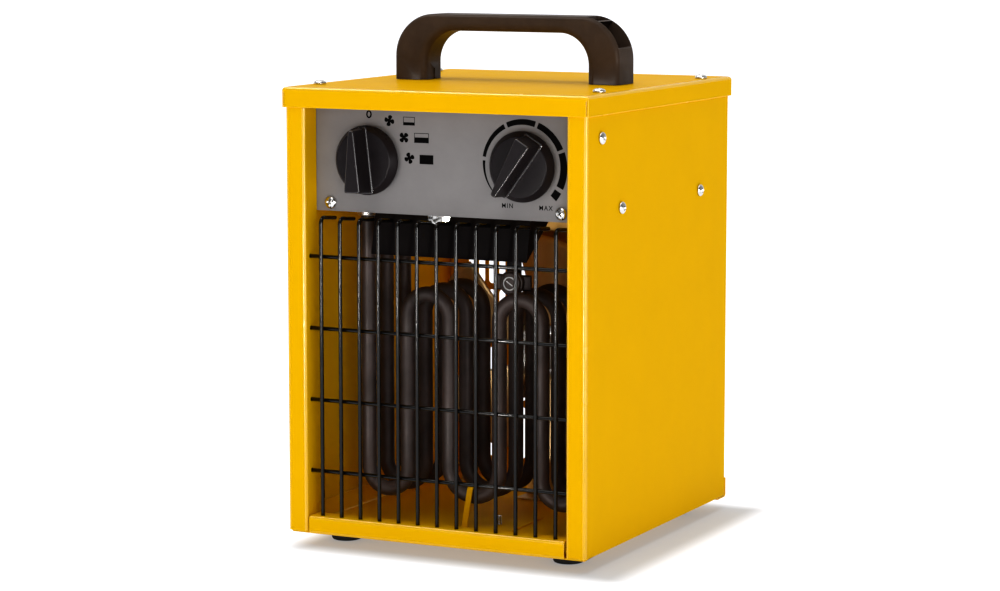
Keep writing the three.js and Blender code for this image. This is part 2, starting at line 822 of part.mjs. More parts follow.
function selectorSwitch() {
  const front = panelBack + seat;
  const half = switchWidth / 2;
  const cut = switchCorner;
  const outline = [
    [selectorX - half, knobZ - half + cut],
    [selectorX - half + cut, knobZ - half],
    [selectorX + half - cut, knobZ - half],
    [selectorX + half, knobZ - half + cut],
    [selectorX + half, knobZ + half - cut],
    [selectorX + half - cut, knobZ + half],
    [selectorX - half + cut, knobZ + half],
    [selectorX - half, knobZ + half - cut],
  ];
  const body = prism('y', outline, front, front + switchDepth);
  const back = front + switchDepth;
  const tabs = [-1, 0, 1].flatMap((across) => [-1, 1].map((up) =>
    terminalTab(selectorX + across * switchTabSpread, back, knobZ + up * switchTabLift)));
  return joined([body, ...tabs]).subtract(shaftBore(selectorX));
}

function thermostat() {
  const front = panelBack + seat;
  const back = front + thermostatDepth;
  const halfW = thermostatWidth / 2;
  const halfH = thermostatHeight / 2;
  const body = block(thermostatX - halfW, thermostatX + halfW, front, back, knobZ - halfH, knobZ + halfH);
  const bellows = bar('y', bellowsRadius, back - sheet, back + bellowsHeight, [thermostatX, 0, knobZ], 20);
  const tabs = sides.map(([, s]) =>
    terminalTab(thermostatX + s * thermostatTabSpread, back, knobZ - bellowsRadius / 2));
  return joined([body, bellows, ...tabs]).subtract(shaftBore(thermostatX));
}

// Capillary from the thermostat's bellows over the shelf, down through it to the bulb at the intake.
function capillaryAndBulb() {
  const start = panelBack + seat + thermostatDepth + bellowsHeight + seat;
  const bend = capillaryBend;
  const route = [
    [thermostatX, start, knobZ],
    [thermostatX, start + bend, knobZ],
    [thermostatX + bend / 2, start + 3 * bend, knobZ - bend],
    [bulbX - bend / 2, bulbY - 3 * bend, knobZ - bend],
    [bulbX, bulbY - bend / 2, knobZ - 1.5 * bend],
    [bulbX, bulbY, knobZ - 2 * bend],
    [bulbX, bulbY, shelfTop + sheet],
    [bulbX, bulbY, bulbTop - sheet],
  ];
  const points = route.map((point) => new THREE.Vector3(...point));
  const curve = new THREE.CatmullRomCurve3(points, false, 'chordal');
  const circle = shapeOf(arc(0, 0, capillaryRadius, 0, 360, 6).slice(0, 6));
  const path = { steps: 18, extrudePath: curve, bevelEnabled: false };
  const tube = solid(new THREE.ExtrudeGeometry(circle, path));
  const bulb = bar('z', bulbRadius, bulbTop - bulbLength, bulbTop, [bulbX, bulbY, 0], 10);
  return tube.add(bulb);
}

// Spring clip on the rear panel that holds the bulb.
function bulbClip() {
  const z = bulbTop - bulbLength / 2;
  const inner = bulbRadius + seat;
  const outer = inner + bulbClipSheet;
  const half = bulbClipHeight / 2;
  const open = 60; // half angle of the mouth, degrees
  const ring = [
    ...arc(bulbX, bulbY, outer, -90 + open / 2, 270 - open / 2, 12),
    ...arc(bulbX, bulbY, inner, 270 - open / 2, -90 + open / 2, 12),
  ];
  const jaw = prism('z', ring, z - half, z + half);
  const back = rearPanelFront - seat;
  const sheetX = bulbClipSheet;
  const neck = block(bulbX - sheetX, bulbX + sheetX, bulbY + inner + sheetX / 4, back, z - half, z + half);
  const footHalf = bulbClipFoot / 2;
  const plate = block(bulbX - half, bulbX + half, back - bulbClipSheet, back, z - footHalf, z + footHalf);
  return joined([jaw, neck, plate]);
}

function terminalBlock() {
  const base = shelfTop + seat;
  const top = base + terminalHeight;
  const shoulder = top - terminalShoulder;
  const y1 = rearPanelFront - terminalRearGap;
  const y0 = y1 - terminalDepth;
  const x0 = glandX - (terminalPoles * terminalPitch) / 2;
  const section = [
    [y0, base], [y1, base], [y1, shoulder],
    [y1 - terminalStep, top], [y0 + terminalStep, top], [y0, shoulder],
  ];
  const body = prism('x', section, x0, x0 + terminalPoles * terminalPitch);
  const cuts = Array.from({ length: terminalPoles }, (_, i) => {
    const x = x0 + (i + 0.5) * terminalPitch;
    return [
      bar('y', terminalBore, y0 - 1, y1 + 1, [x, 0, (base + shoulder) / 2], 10),
      bar('z', terminalBore, shoulder - sheet, top + 1, [x, (y0 + y1) / 2, 0], 10),
    ];
  });
  return without(body, cuts.flat());
}

// ---------------------------------------------------------------- grille and elements

function verticalWire(x) {
  const corners = [
    [verticalWireY, lipTop - sheet - wireTuck],
    [verticalWireY, wireTop],
    [verticalWireY + wireReturn, wireTop],
  ];
  const toSpace = (y, z) => new THREE.Vector3(x, y, z);
  return rod(rodStations(corners, [wireBend], 2, toSpace), wireRadius, wireSides);
}

function outletGrille() {
  const end = flangeX + sheet + wireTuck;
  const crossWires = crossWireHeights().map((z) =>
    bar('x', wireRadius, -end, end, [0, crossWireY, z], wireSides));
  return joined([...verticalWirePlaces().map(verticalWire), ...crossWires]);
}

function elementPlanes() {
  return ['front', 'middle', 'rear'].map((name, i) => [name, frontY + elementSetback + i * elementPitch]);
}

function elementTube(y) {
  const low = elementBottom;
  const high = elementTop;
  const end = shelfTop + seat + 8;
  const half = [
    [outerLegX, end], [outerLegX, low], [middleLegX, low], [middleLegX, high], [innerLegX, high],
    [innerLegX, low],
  ];
  const corners = [...half, ...half.map(([x, z]) => [-x, z]).reverse()];
  const bends = [outerBend, outerBend, loopBend, loopBend, middleBend];
  const toSpace = (x, z) => new THREE.Vector3(x, y, z);
  const stations = rodStations(corners, [...bends, ...bends.slice().reverse()], bendSteps, toSpace);
  const distinct = stations.filter((station, i) =>
    i === 0 || station.point.distanceTo(stations[i - 1].point) > 1e-3);
  return rod(distinct, elementRadius, elementSides);
}

// Bushing below the shelf, neck through it, hexagon nut above and the terminal pin.
function elementFitting(x, y) {
  const at = [x, y, 0];
  const under = shelfBottom - seat;
  const nutBase = shelfTop + seat;
  return joined([
    bar('z', ferruleRadius, under - ferruleHeight, under, at, 8),
    bar('z', elementRadius + 0.6, under - 0.5, nutBase + 0.5, at, 8),
    bar('z', ferruleRadius + 0.6, nutBase, nutBase + 4, at, 6),
    bar('z', pinRadius, nutBase + 3, nutBase + 8 + pinLength, at, 6),
  ]);
}

function heatingElement(y) {
  return joined([elementTube(y), ...sides.map(([, s]) => elementFitting(s * outerLegX, y))]);
}

// Moves each edge of a convex outline inward by the wall thickness.
function insetOutline(points, wall) {
  const corners = points.map(([a, b]) => new THREE.Vector2(a, b));
  const count = corners.length;
  const area = THREE.ShapeUtils.area(corners);
  const turn = Math.sign(area);
  const lines = corners.map((corner, i) => {
    const along = corners[(i + 1) % count].clone().sub(corner).normalize();
    const inward = new THREE.Vector2(-along.y, along.x).multiplyScalar(turn);
    return { start: corner.clone().addScaledVector(inward, wall), along };
  });
  return lines.map((line, i) => {
    const before = lines[(i + count - 1) % count];
    const gap = line.start.clone().sub(before.start);
    const reach = gap.cross(line.along) / before.along.cross(line.along);
    const meet = before.start.clone().addScaledVector(before.along, reach);
    return [meet.x, meet.y];
  });
}

function heatShield() {
  const top = shelfBottom - seat;
  const outline = [
    [frontY + shieldFrontTop, top],
    [frontY + shieldFrontFoot, top - shieldDrop],
    [frontY + shieldRearTop, top],
  ];
  const hollow = insetOutline(outline, sheet).map(([y, z]) => (z > top - 2 * sheet ? [y, top + 1] : [y, z]));
  const half = shieldWidth / 2;
  return prism('x', outline, -half, half).subtract(prism('x', hollow, -half + sheet, half - sheet));
}

function cutoutFaceY() {
  return frontY + elementSetback + elementRadius + sheet;
}

function thermalCutout() {
  const y = cutoutFaceY();
  const at = [cutoutX, 0, cutoutZ];
  const back = y + cutoutThickness;
  const cap = bar('y', cutoutRadius - cutoutRim, y, y + cutoutCap, at, 16);
  const cup = bar('y', cutoutRadius, y + cutoutCap - cutoutRim, back, at, 16);
  const halfEar = cutoutEarHeight / 2;
  const ears = block(cutoutX - cutoutEarLength, cutoutX + cutoutEarLength, back - sheet, back,
    cutoutZ - halfEar, cutoutZ + halfEar);
  return joined([cap, cup, ears]);
}

function cutoutStrip() {
  const y = cutoutFaceY() + cutoutThickness + seat;
  const half = cutoutStripWidth / 2;
  const top = shelfBottom - seat;
  const strip = block(cutoutX - half, cutoutX + half, y, y + sheet, cutoutZ - cutoutStripTail, top);
  const foot = block(cutoutX - half, cutoutX + half, y, y + cutoutStripFoot, top - sheet, top);
  const pad = block(cutoutX - cutoutEarLength, cutoutX + cutoutEarLength, y, y + sheet,
    cutoutZ - half, cutoutZ + half);
  return joined([strip, foot, pad]);
}

// Clip on the tray floor whose prong hooks over the lower middle bend of the front element.
function elementClip() {
  const base = floorTop + seat;
  const elementFront = frontY + elementSetback - elementRadius;
  const prongBack = elementFront - seat;
  const prongFront = prongBack - clipProngDepth;
  const over = elementBottom + elementRadius + clipLift;
  const left = clipX - sheet / 2;
  const footBack = prongFront + clipFootLength;
  const foot = block(left, clipX + clipFootWidth, prongFront, footBack, base, base + sheet);
  const prong = prism('x', [
    [prongFront + sheet, base], [prongBack, base], [prongBack, over + clipHookEdge],
    [prongFront, over + clipHookEdge], [prongFront - sheet / 2, (base + over) / 2],
  ], left, clipX + sheet / 2);
  const hook = block(left, left + clipHookWidth, prongFront + 2 * sheet, elementFront + 2 * elementRadius,
    over, over + sheet);
  const bore = bar('z', screwBore, base - 1, base + sheet + 1, [clipScrewX, clipScrewY, 0]);
  return joined([foot, prong, hook]).subtract(bore);
}

// ---------------------------------------------------------------- fan and motor

// One pressed petal: a sheet whose pitch twists it through the disc, with a rounded outer edge.
function petal(startAngle) {
  const across = 6;
  const along = 4;
  const pitch = Math.tan(THREE.MathUtils.degToRad(fanPitch));
  const root = hubRadius - bladeBite;
  const tipHalfArc = (Math.PI * bladeShare) / fanBlades;
  const grid = [];
  for (let v = 0; v <= along; v += 1) {
    for (let u = 0; u <= across; u += 1) {
      const side = (2 * u) / across - 1;
      const reach = v / along;
      const tip = fanRadius * (1 - 0.1 * Math.abs(side) ** 3);
      const radius = root + (tip - root) * reach;
      const share = bladeRootShare + (1 - bladeRootShare) * Math.sin((reach * Math.PI) / 2);
      const turn = side * tipHalfArc * share;
      const lift = Math.min(1, 2 * reach);
      const y = -lift * (turn * radius * pitch + bladeCamber * (1 - side * side));
      grid.push([radius * Math.sin(startAngle + turn), y, radius * Math.cos(startAngle + turn)]);
    }
  }
  return thickSheet(grid, across, along, bladeSheet);
}

// Closes a grid of points into a sheet whose thickness runs along Y.
function thickSheet(grid, across, along, thickness) {
  const row = across + 1;
  const layer = grid.length;
  const positions = [...grid.map(([x, y, z]) => [x, y - thickness / 2, z]),
    ...grid.map(([x, y, z]) => [x, y + thickness / 2, z])].flat();
  const index = [];
  const quad = (a, b, c, d) => index.push(a, b, c, a, c, d);
  for (let v = 0; v < along; v += 1) {
    for (let u = 0; u < across; u += 1) {
      const a = v * row + u;
      quad(a, a + 1, a + 1 + row, a + row);
      quad(layer + a, layer + a + row, layer + a + row + 1, layer + a + 1);
    }
  }
  const rim = [
    ...Array.from({ length: across }, (_, u) => u),
    ...Array.from({ length: along }, (_, v) => v * row + across),
    ...Array.from({ length: across }, (_, u) => along * row + across - u),
    ...Array.from({ length: along }, (_, v) => (along - v) * row),
  ];
  rim.forEach((a, i) => {
    const b = rim[(i + 1) % rim.length];
    quad(b, a, layer + a, layer + b);
  });
  const geometry = new THREE.BufferGeometry();
  geometry.setAttribute('position', new THREE.Float32BufferAttribute(positions, 3));
  geometry.setIndex(index);
  return solid(geometry);
}

function fanImpeller() {
  const start = THREE.MathUtils.degToRad(fanStart);
  const petals = Array.from({ length: fanBlades }, (_, i) => petal(start + (i * 2 * Math.PI) / fanBlades));
  const centre = [0, 0, 0];
  const disc = bar('y', hubRadius, -hubSheet / 2, hubSheet / 2, centre, 20);
  const boss = bar('y', bossRadius, -bossFront, bossBack, centre, 10);
  const bore = bar('y', motorShaftRadius + seat, -2 * bossBack, 2 * bossBack, centre, 8);
  return joined([disc, boss, ...petals]).subtract(bore).translate([0, fanY, fanZ]);
}

function motorRotor() {
  const at = [0, 0, fanZ];
  const tail = statorBack + bridgeStack + motorShaftTail;
  const shaft = bar('y', motorShaftRadius, fanY - motorShaftNose, tail, at, 8);
  const core = bar('y', rotorRadius, statorFront + airGap, statorBack - airGap, at, 18);
  return shaft.add(core);
}

// Levels of the motor's plates: the rotor turns in the upper part, the coil sits on the lower bar.
function motorLevels() {
  const top = fanZ + rotorRadius + statorCrown;
  const bottom = top - statorHeight;
  return { top, bottom, barTop: bottom + statorLimb, windowTop: fanZ - rotorRadius - windowDrop };
}

function motorStator() {
  const { top, bottom, barTop, windowTop } = motorLevels();
  const x = statorWidth / 2;
  const low = statorFootCorner;
  const high = statorCorner;
  const frame = prism('y', [
    [-x, bottom + low], [-x + low, bottom], [x - low, bottom], [x, bottom + low],
    [x, top - high], [x - high, top], [-x + high, top], [-x, top - high],
  ], statorFront, statorBack);
  const through = [statorFront - 1, statorBack + 1];
  const window = block(-x + statorLimb, x - statorLimb, ...through, barTop, windowTop);
  const bore = bar('y', rotorRadius + airGap, ...through, [0, 0, fanZ], 18);
  return without(frame, [window, bore]);
}

// Winding on its bobbin round the lower bar of the plates.
function motorCoil() {
  const { bottom, barTop, windowTop } = motorLevels();
  const build = windowTop - barTop - 2 * coilGap;
  const y0 = statorFront - build;
  const y1 = statorBack + build;
  const x = statorWidth / 2 - statorLimb - coilGap;
  const inner = x - coilCheek;
  const winding = block(-inner - seat, inner + seat, y0 + coilStep, y1 - coilStep,
    bottom - build + coilStep, barTop + build - coilStep);
  const cheeks = [[-x, -inner], [inner, x]].map(([x0, x1]) =>
    block(x0, x1, y0, y1, bottom - build, barTop + build));
  const limb = block(-statorWidth, statorWidth, statorFront - seat, statorBack + seat,
    bottom - seat, barTop + seat);
  return joined([winding, ...cheeks]).subtract(limb);
}

// Bearing bridge across the frame: a bar, two posts to the plates and a boss round the shaft.
function bearingBridge(face, outward) {
  const along = (a, b) => [face + outward * a, face + outward * b].sort((p, q) => p - q);
  const waist = 34; // half angle of the wider middle, degrees
  const strip = prism('y', [
    ...arc(-postSpread, fanZ, bridgeEye, 90, 270, 4),
    ...arc(0, fanZ, bridgeWaist, 270 - waist, 270 + waist, 2),
    ...arc(postSpread, fanZ, bridgeEye, -90, 90, 4),
    ...arc(0, fanZ, bridgeWaist, 90 - waist, 90 + waist, 2),
  ], ...along(bridgeGap, bridgeStack));
  const posts = sides.map(([, s]) =>
    bar('y', postRadius, ...along(seat, bridgeGap + sheet), [s * postSpread, 0, fanZ], 8));
  const boss = bar('y', bridgeBoss, ...along(bridgeGap, bridgeStack + bridgeBossRise), [0, 0, fanZ], 10);
  const bore = bar('y', motorShaftRadius + seat, ...along(0, 2 * bridgeStack), [0, 0, fanZ], 8);
  return joined([strip, ...posts, boss]).subtract(bore);
}

// Strap that carries the motor between the tray floor and the shelf.
function motorStrap() {
  const low = floorTop + seat;
  const high = shelfBottom - seat;
  const half = strapWidth / 2;
  const section = foldedSection([
    [strapY - strapFoot, high],
    [strapY + sheet, high],
    [strapY + sheet, low],
    [strapY - strapFoot, low],
  ]);
  const strap = prism('x', section, -half, half);
  const opening = bar('y', strapEye, strapY - sheet, strapY + 2 * sheet, [0, 0, fanZ], 14);
  return strap.subtract(opening);
}

// ---------------------------------------------------------------- gland and feet

// Snap-in gland: a collar outside the panel, a waist in its hole and snap ribs inside.
function cableGland() {
  const face = rearPanelFront + sheet + seat;
  const inside = -(sheet + 2 * seat);
  const profile = [
    [0, inside - 8], [glandRadius - 1.2, inside - 8], [glandRadius + 0.9, inside - 1.4],
    [glandRadius + 0.9, inside], [glandRadius, inside], [glandRadius, 0], [10.5, 0], [10.5, 3.2],
    [8.2, 6], [6.6, 8.6], [5.6, 9.7], [0, 9.7],
  ];
  const body = solid(turned(profile, 14));
  const channel = bar('z', 4.6, inside - 9, 11, [0, 0, 0], 14);
  return geometryOf(body.subtract(channel)).rotateX(-Math.PI / 2).translate(glandX, face, glandZ);
}

function foot(x, y) {
  const top = floorBottom - seat;
  const profile = [
    [screwBore, 4.2], [4.6, 4.2], [4.6, 0], [footRadius - 1.8, 0], [footRadius - 0.6, 1.2],
    [footRadius, top], [screwBore, top], [screwBore, 4.2],
  ];
  return turned(profile, 12).translate(x, y, 0);
}

// ---------------------------------------------------------------- handle

// Outline of the arch over its posts, drawn in from its outer edge by inset.
function archRing(y, inset, top, half, bend, base) {
  const z = top - bend;
  const x = half - bend;
  const outline = [
    [half - inset, base],
    ...arc(x, z, bend - inset, 0, 90, 7),
    ...arc(-x, z, bend - inset, 90, 180, 7),
    [-half + inset, base],
  ];
  return outline.map(([a, b]) => [a, y, b]);
}

function handleBody() {
  const half = handleLength / 2;
  const top = handleHeight;
  const d = handleDepth / 2;
  const edge = handleEdge;
  const outer = loft([
    archRing(d, edge, top, half, handleOuterBend, 0),
    archRing(d - edge * 0.3, edge * 0.3, top, half, handleOuterBend, 0),
    archRing(d - edge, 0, top, half, handleOuterBend, 0),
    archRing(-d + edge, 0, top, half, handleOuterBend, 0),
    archRing(-d + edge * 0.3, edge * 0.3, top, half, handleOuterBend, 0),
    archRing(-d, edge, top, half, handleOuterBend, 0),
  ]);
  const innerTop = top - gripThickness;
  const innerHalf = half - postWidth;
  const flares = [-1, -0.4, 0];
  const rings = [];
  for (const s of [1, -1]) {
    const steps = s > 0 ? flares : flares.slice().reverse();
    for (const t of steps) {
      const grow = handleFlare * (1 - Math.sqrt(1 - t * t));
      rings.push(archRing(s * (d + (1 + t) * -handleFlare), -grow, innerTop, innerHalf,
        handleInnerBend, -1));
    }
  }
  rings[0] = archRing(d + 0.5, -handleFlare, innerTop, innerHalf, handleInnerBend, -1);
  rings[rings.length - 1] = archRing(-d - 0.5, -handleFlare, innerTop, innerHalf, handleInnerBend, -1);
  return outer.subtract(loft(rings));
}

// Moulding pocket in the outside of each top corner, with one thin rib across it.
function cornerPockets(side) {
  const centreX = handleLength / 2 - handleOuterBend;
  const centreZ = handleHeight - handleOuterBend;
  const d = handleDepth / 2 - pocketWall;
  const sector = (from, to) => {
    const steps = Math.max(2, Math.round((to - from) / 10));
    const outline = [
      ...arc(centreX, centreZ, handleOuterBend + 4, from, to, steps),
      ...arc(centreX, centreZ, handleOuterBend - pocketDepth, to, from, steps),
    ];
    return prism('y', outline, -d, d);
  };
  const pockets = pocketAngles.map(([from, to]) => sector(from, to));
  return side > 0 ? pockets : pockets.map((pocket) => pocket.mirror([1, 0, 0]));
}

function carryHandle() {
  const base = coverTop + seat;
  const bores = sides.map(([, s]) => bar('z', screwBore, -1, handleScrewLength, [s * handleX, 0, 0]));
  const face = handleLength / 2 - postWidth;
  const notches = sides.map(([, s]) => {
    const xs = [s * (face - 1), s * (face + notchDepth)].sort((a, b) => a - b);
    return block(...xs, -notchWidth / 2, notchWidth / 2, -1, notchHeight);
  });
  const cuts = [...sides.flatMap(([, s]) => cornerPockets(s)), ...bores, ...notches];
  return without(handleBody(), cuts).translate([0, 0, base]);
}

// ---------------------------------------------------------------- fasteners

// Dome-headed screw: head above the origin along +Z, shank below it.
function screw(length) {
  const h = screwHeadHeight;
  return turned([
    [0, -length], [screwShank, -length], [screwShank, 0], [screwHead, 0], [screwHead * 0.75, h * 0.75],
    [0, h],
  ], screwSides);
}

function addScrew(name, [x, y, z], [rx, ry, rz], length = screwLength) {
  const mesh = add(name, screw(length), zinc());
  mesh.position.set(x, y, z);
  mesh.rotation.set(rx, ry, rz);
}

function addScrews() {
  const quarter = Math.PI / 2;
  coverScrewPlaces().forEach(([x, y], i) =>
    addScrew(`cover_screw_${i + 1}`, [x, y, coverTop + seat], [0, 0, 0]));
  for (const [side, s] of sides) {
    sideScrewPlaces().forEach(([y, z], i) =>
      addScrew(`${side}_screw_${i + 1}`, [s * (halfWidth + seat), y, z], [0, s * quarter, 0]));
    addScrew(`panel_screw_${side}`, [s * panelScrewX, panelFront - seat, panelScrewZ], [quarter, 0, 0]);
    addScrew(`rear_screw_upper_${side}`, [s * rearScrewX, rearY + seat, upperRearScrewZ], [-quarter, 0, 0]);
    addScrew(`rear_screw_lower_${side}`, [s * rearScrewX, trayRearY + seat, lowerRearScrewZ],
      [-quarter, 0, 0]);
    addScrew(`handle_screw_${side}`, [s * handleX, 0, coverTop - sheet - seat], [2 * quarter, 0, 0],
      handleScrewLength);
  }
  for (const [place, x, y] of footPlaces()) {
    addScrew(`foot_screw_${place}`, [x, y, 4.2 - seat], [2 * quarter, 0, 0], screwLength);
  }
  addScrew('clip_screw', [clipScrewX, clipScrewY, floorBottom - seat], [2 * quarter, 0, 0]);
}

// ---------------------------------------------------------------- assembly

add('top_cover', topCover(), yellowPaint());
for (const [side, s] of sides) {
  add(`side_panel_${side}`, sidePanel(s), yellowPaint());
}
add('rear_panel', rearPanel(), yellowPaint());
add('bottom_tray', bottomTray(), yellowPaint());
add('control_panel', controlPanel(), greyPaint());
add('compartment_shelf', compartmentShelf(), yellowPaint());
add('carry_handle', carryHandle(), blackPlastic());
add('outlet_grille', outletGrille(), blackWire());

placeOnPanel(add('selector_knob', knob(), knobPlastic()), selectorX, selectorLean);
placeOnPanel(add('thermostat_knob', knob(), knobPlastic()), thermostatX, thermostatLean);
placeOnPanel(add('selector_shaft', controlShaft(), zinc()), selectorX, selectorLean);
placeOnPanel(add('thermostat_shaft', controlShaft(), zinc()), thermostatX, thermostatLean);
add('selector_switch', selectorSwitch(), whitePlastic());
add('thermostat', thermostat(), zinc());
add('thermostat_bulb', capillaryAndBulb(), copper());
add('bulb_clip', bulbClip(), zinc());
add('terminal_block', terminalBlock(), whitePlastic());
add('cable_gland', cableGland(), blackPlastic());

for (const [name, y] of elementPlanes()) {
  add(`heating_element_${name}`, heatingElement(y), sheathSteel());
}
add('heat_shield', heatShield(), blackSheet());
add('thermal_cutout', thermalCutout(), aluminium());
add('cutout_strip', cutoutStrip(), blackSheet());
add('element_clip', elementClip(), yellowPaint());

add('fan_impeller', fanImpeller(), aluminium());
add('motor_rotor', motorRotor(), motorSteel());
add('motor_stator', motorStator(), motorSteel());
add('motor_coil', motorCoil(), copper());
add('bearing_bridge_front', bearingBridge(statorFront, -1), aluminium());
add('bearing_bridge_rear', bearingBridge(statorBack, 1), aluminium());
add('motor_strap', motorStrap(), zinc());

for (const [place, x, y] of footPlaces()) {
  add(`foot_${place}`, foot(x, y), rubber());
}
addScrews();

export default heater;
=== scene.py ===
"""Looks of a forced air heater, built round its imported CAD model. Sizes are in millimetres until a mesh is made."""

import math
import random

import bmesh
import bpy
from mathutils import Matrix, Vector


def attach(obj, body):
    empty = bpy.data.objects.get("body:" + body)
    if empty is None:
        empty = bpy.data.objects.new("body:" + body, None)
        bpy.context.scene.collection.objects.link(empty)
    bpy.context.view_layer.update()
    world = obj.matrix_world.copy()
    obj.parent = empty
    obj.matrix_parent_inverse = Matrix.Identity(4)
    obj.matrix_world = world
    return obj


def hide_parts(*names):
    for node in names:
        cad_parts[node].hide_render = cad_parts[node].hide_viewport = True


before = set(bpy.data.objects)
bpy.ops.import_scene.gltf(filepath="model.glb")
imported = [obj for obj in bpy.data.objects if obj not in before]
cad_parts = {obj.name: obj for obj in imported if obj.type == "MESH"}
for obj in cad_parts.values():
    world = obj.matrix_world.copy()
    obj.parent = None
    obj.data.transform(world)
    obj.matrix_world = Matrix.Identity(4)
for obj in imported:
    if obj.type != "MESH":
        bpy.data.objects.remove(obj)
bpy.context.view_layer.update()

MM = 0.001
CASING = "casing"
SIDES = (("left", -1), ("right", 1))
ENDS = (("front", -1), ("rear", 1))
TO_FRONT = Matrix.Rotation(math.radians(90), 4, "X")    # turns a form that points up to the front
TO_REAR = Matrix.Rotation(math.radians(-90), 4, "X")    # and to the rear

# ---------------------------------------------------------------- places shared with the CAD

HALF_W, REAR = 102.5, 112.0
FLOOR_TOP = 8.7
SHELF_BOTTOM, SHELF_TOP = 210.3, 211.3
PANEL_FRONT = -96.7
COVER_FACE, COVER_UNDER = 287.9, 286.3
KNOB_BACK, KNOB_Z = -99.0, 243.0
SELECTOR_X, THERMOSTAT_X = -52.0, 54.0
WIRE_Y, CROSS_Y = -107.5, -105.4
FAN_Y, FAN_Z, FAN_R = 38.0, 109.5, 75.8
REAR_PANEL = 109.7
GLAND_X, GLAND_Y, GLAND_Z = 60.0, 111.0, 240.8
FOOT_X, FOOT_Y = 77.5, 82.0
CLIP_SCREW_X, CLIP_SCREW_Y = 11.0, -43.0
REAR_SCREW_X, REAR_SCREW_LOW, REAR_SCREW_HIGH = 95.75, 15.0, 255.0
ELEMENT_X = 75.0
BLADES = 5
SCREW_LENGTHS = (8.0, 12.0)

# ---------------------------------------------------------------- limits

SHARP, TURNED = 30.0, 35.0      # degrees from which an edge of a sheet, and of a turned part, is rounded
WIRE_CREASE = 50.0      # degrees from which an edge of a wire or tube looks hard
FLAT = 0.01             # radians up to which neighbouring faces are one
SAME = 1e-6             # metres between points that are one
BEND_FACE, BEND_LENGTH = 4e-4, 0.06     # square metres and metres from which a face and an edge make a bend
SQUARE = 0.985          # share of a normal along one axis under which a face belongs to a bend
NOISE_LOW, NOISE_HIGH = 0.3, 0.7        # where nearly all values of a noise lie


# ---------------------------------------------------------------- materials

def node(tree, kind, **values):
    """A new node, with its inputs and settings given by name."""
    made = tree.nodes.new(kind)
    for key, value in values.items():
        if key in made.inputs:
            made.inputs[key].default_value = value
        else:
            setattr(made, key, value)
    return made


def rgba(color):
    return (*color, 1.0)


def map_range(tree, source, span, to, smooth=True):
    """A value, carried from one span to another."""
    made = node(tree, "ShaderNodeMapRange", interpolation_type="SMOOTHSTEP" if smooth else "LINEAR")
    for key, value in zip(("From Min", "From Max", "To Min", "To Max"), (*span, *to)):
        made.inputs[key].default_value = value
    tree.links.new(source, made.inputs["Value"])
    return made.outputs["Result"]


def vector_math(tree, operation, source, other=(0, 0, 0)):
    """One step of arithmetic on a vector."""
    made = node(tree, "ShaderNodeVectorMath", operation=operation)
    made.inputs[1].default_value = other
    tree.links.new(source, made.inputs[0])
    return made.outputs["Value" if operation == "LENGTH" else "Vector"]


def finish(name, color, roughness, metallic=0.0, specular=0.5, coat=0.0, tint=(0.9, 1.06, 40), wear=0.05,
           wear_scale=60, bumps=((700, 0.15, 0.0002),), grain=None):
    """A principled surface whose colour and roughness drift a little, under one or more layers of bump.
    tint holds (darkest, lightest, scale per metre), bumps holds (scale per metre, strength, depth in metres),
    and grain stretches the first bump along an axis."""
    made = bpy.data.materials.new(name)
    made.use_nodes = True
    tree = made.node_tree
    link = tree.links.new
    shader = tree.nodes["Principled BSDF"]
    shader.inputs["Metallic"].default_value = metallic
    shader.inputs["Specular IOR Level"].default_value = specular
    shader.inputs["Coat Weight"].default_value = coat
    shader.inputs["Coat Roughness"].default_value = 0.1
    place = node(tree, "ShaderNodeTexCoord").outputs["Object"]
    darkest, lightest, tint_scale = tint
    drift = node(tree, "ShaderNodeTexNoise", Scale=tint_scale, Detail=4.0, Roughness=0.6)
    link(place, drift.inputs["Vector"])
    ramp = node(tree, "ShaderNodeValToRGB")
    dark, light = ramp.color_ramp.elements
    dark.position, light.position = NOISE_LOW, NOISE_HIGH
    dark.color = rgba([c * darkest for c in color])
    light.color = rgba([min(c * lightest, 1) for c in color])
    link(drift.outputs["Fac"], ramp.inputs["Fac"])
    link(ramp.outputs["Color"], shader.inputs["Base Color"])
    rub = node(tree, "ShaderNodeTexNoise", Scale=wear_scale, Detail=3.0)
    link(place, rub.inputs["Vector"])
    worn = map_range(tree, rub.outputs["Fac"], (NOISE_LOW, NOISE_HIGH), (roughness - wear, roughness + wear), False)
    link(worn, shader.inputs["Roughness"])
    before = None
    for i, (scale, strength, depth) in enumerate(bumps):
        height = node(tree, "ShaderNodeTexNoise", Scale=scale, Detail=2.0)
        source = place
        if grain and i == 0:
            stretch = node(tree, "ShaderNodeMapping")
            stretch.inputs["Scale"].default_value = grain
            link(place, stretch.inputs["Vector"])
            source = stretch.outputs["Vector"]
        link(source, height.inputs["Vector"])
        bump = node(tree, "ShaderNodeBump", Strength=strength, Distance=depth)
        link(height.outputs["Fac"], bump.inputs["Height"])
        if before:
            link(before, bump.inputs["Normal"])
        before = bump.outputs["Normal"]
    if before:
        link(before, shader.inputs["Normal"])
    return made


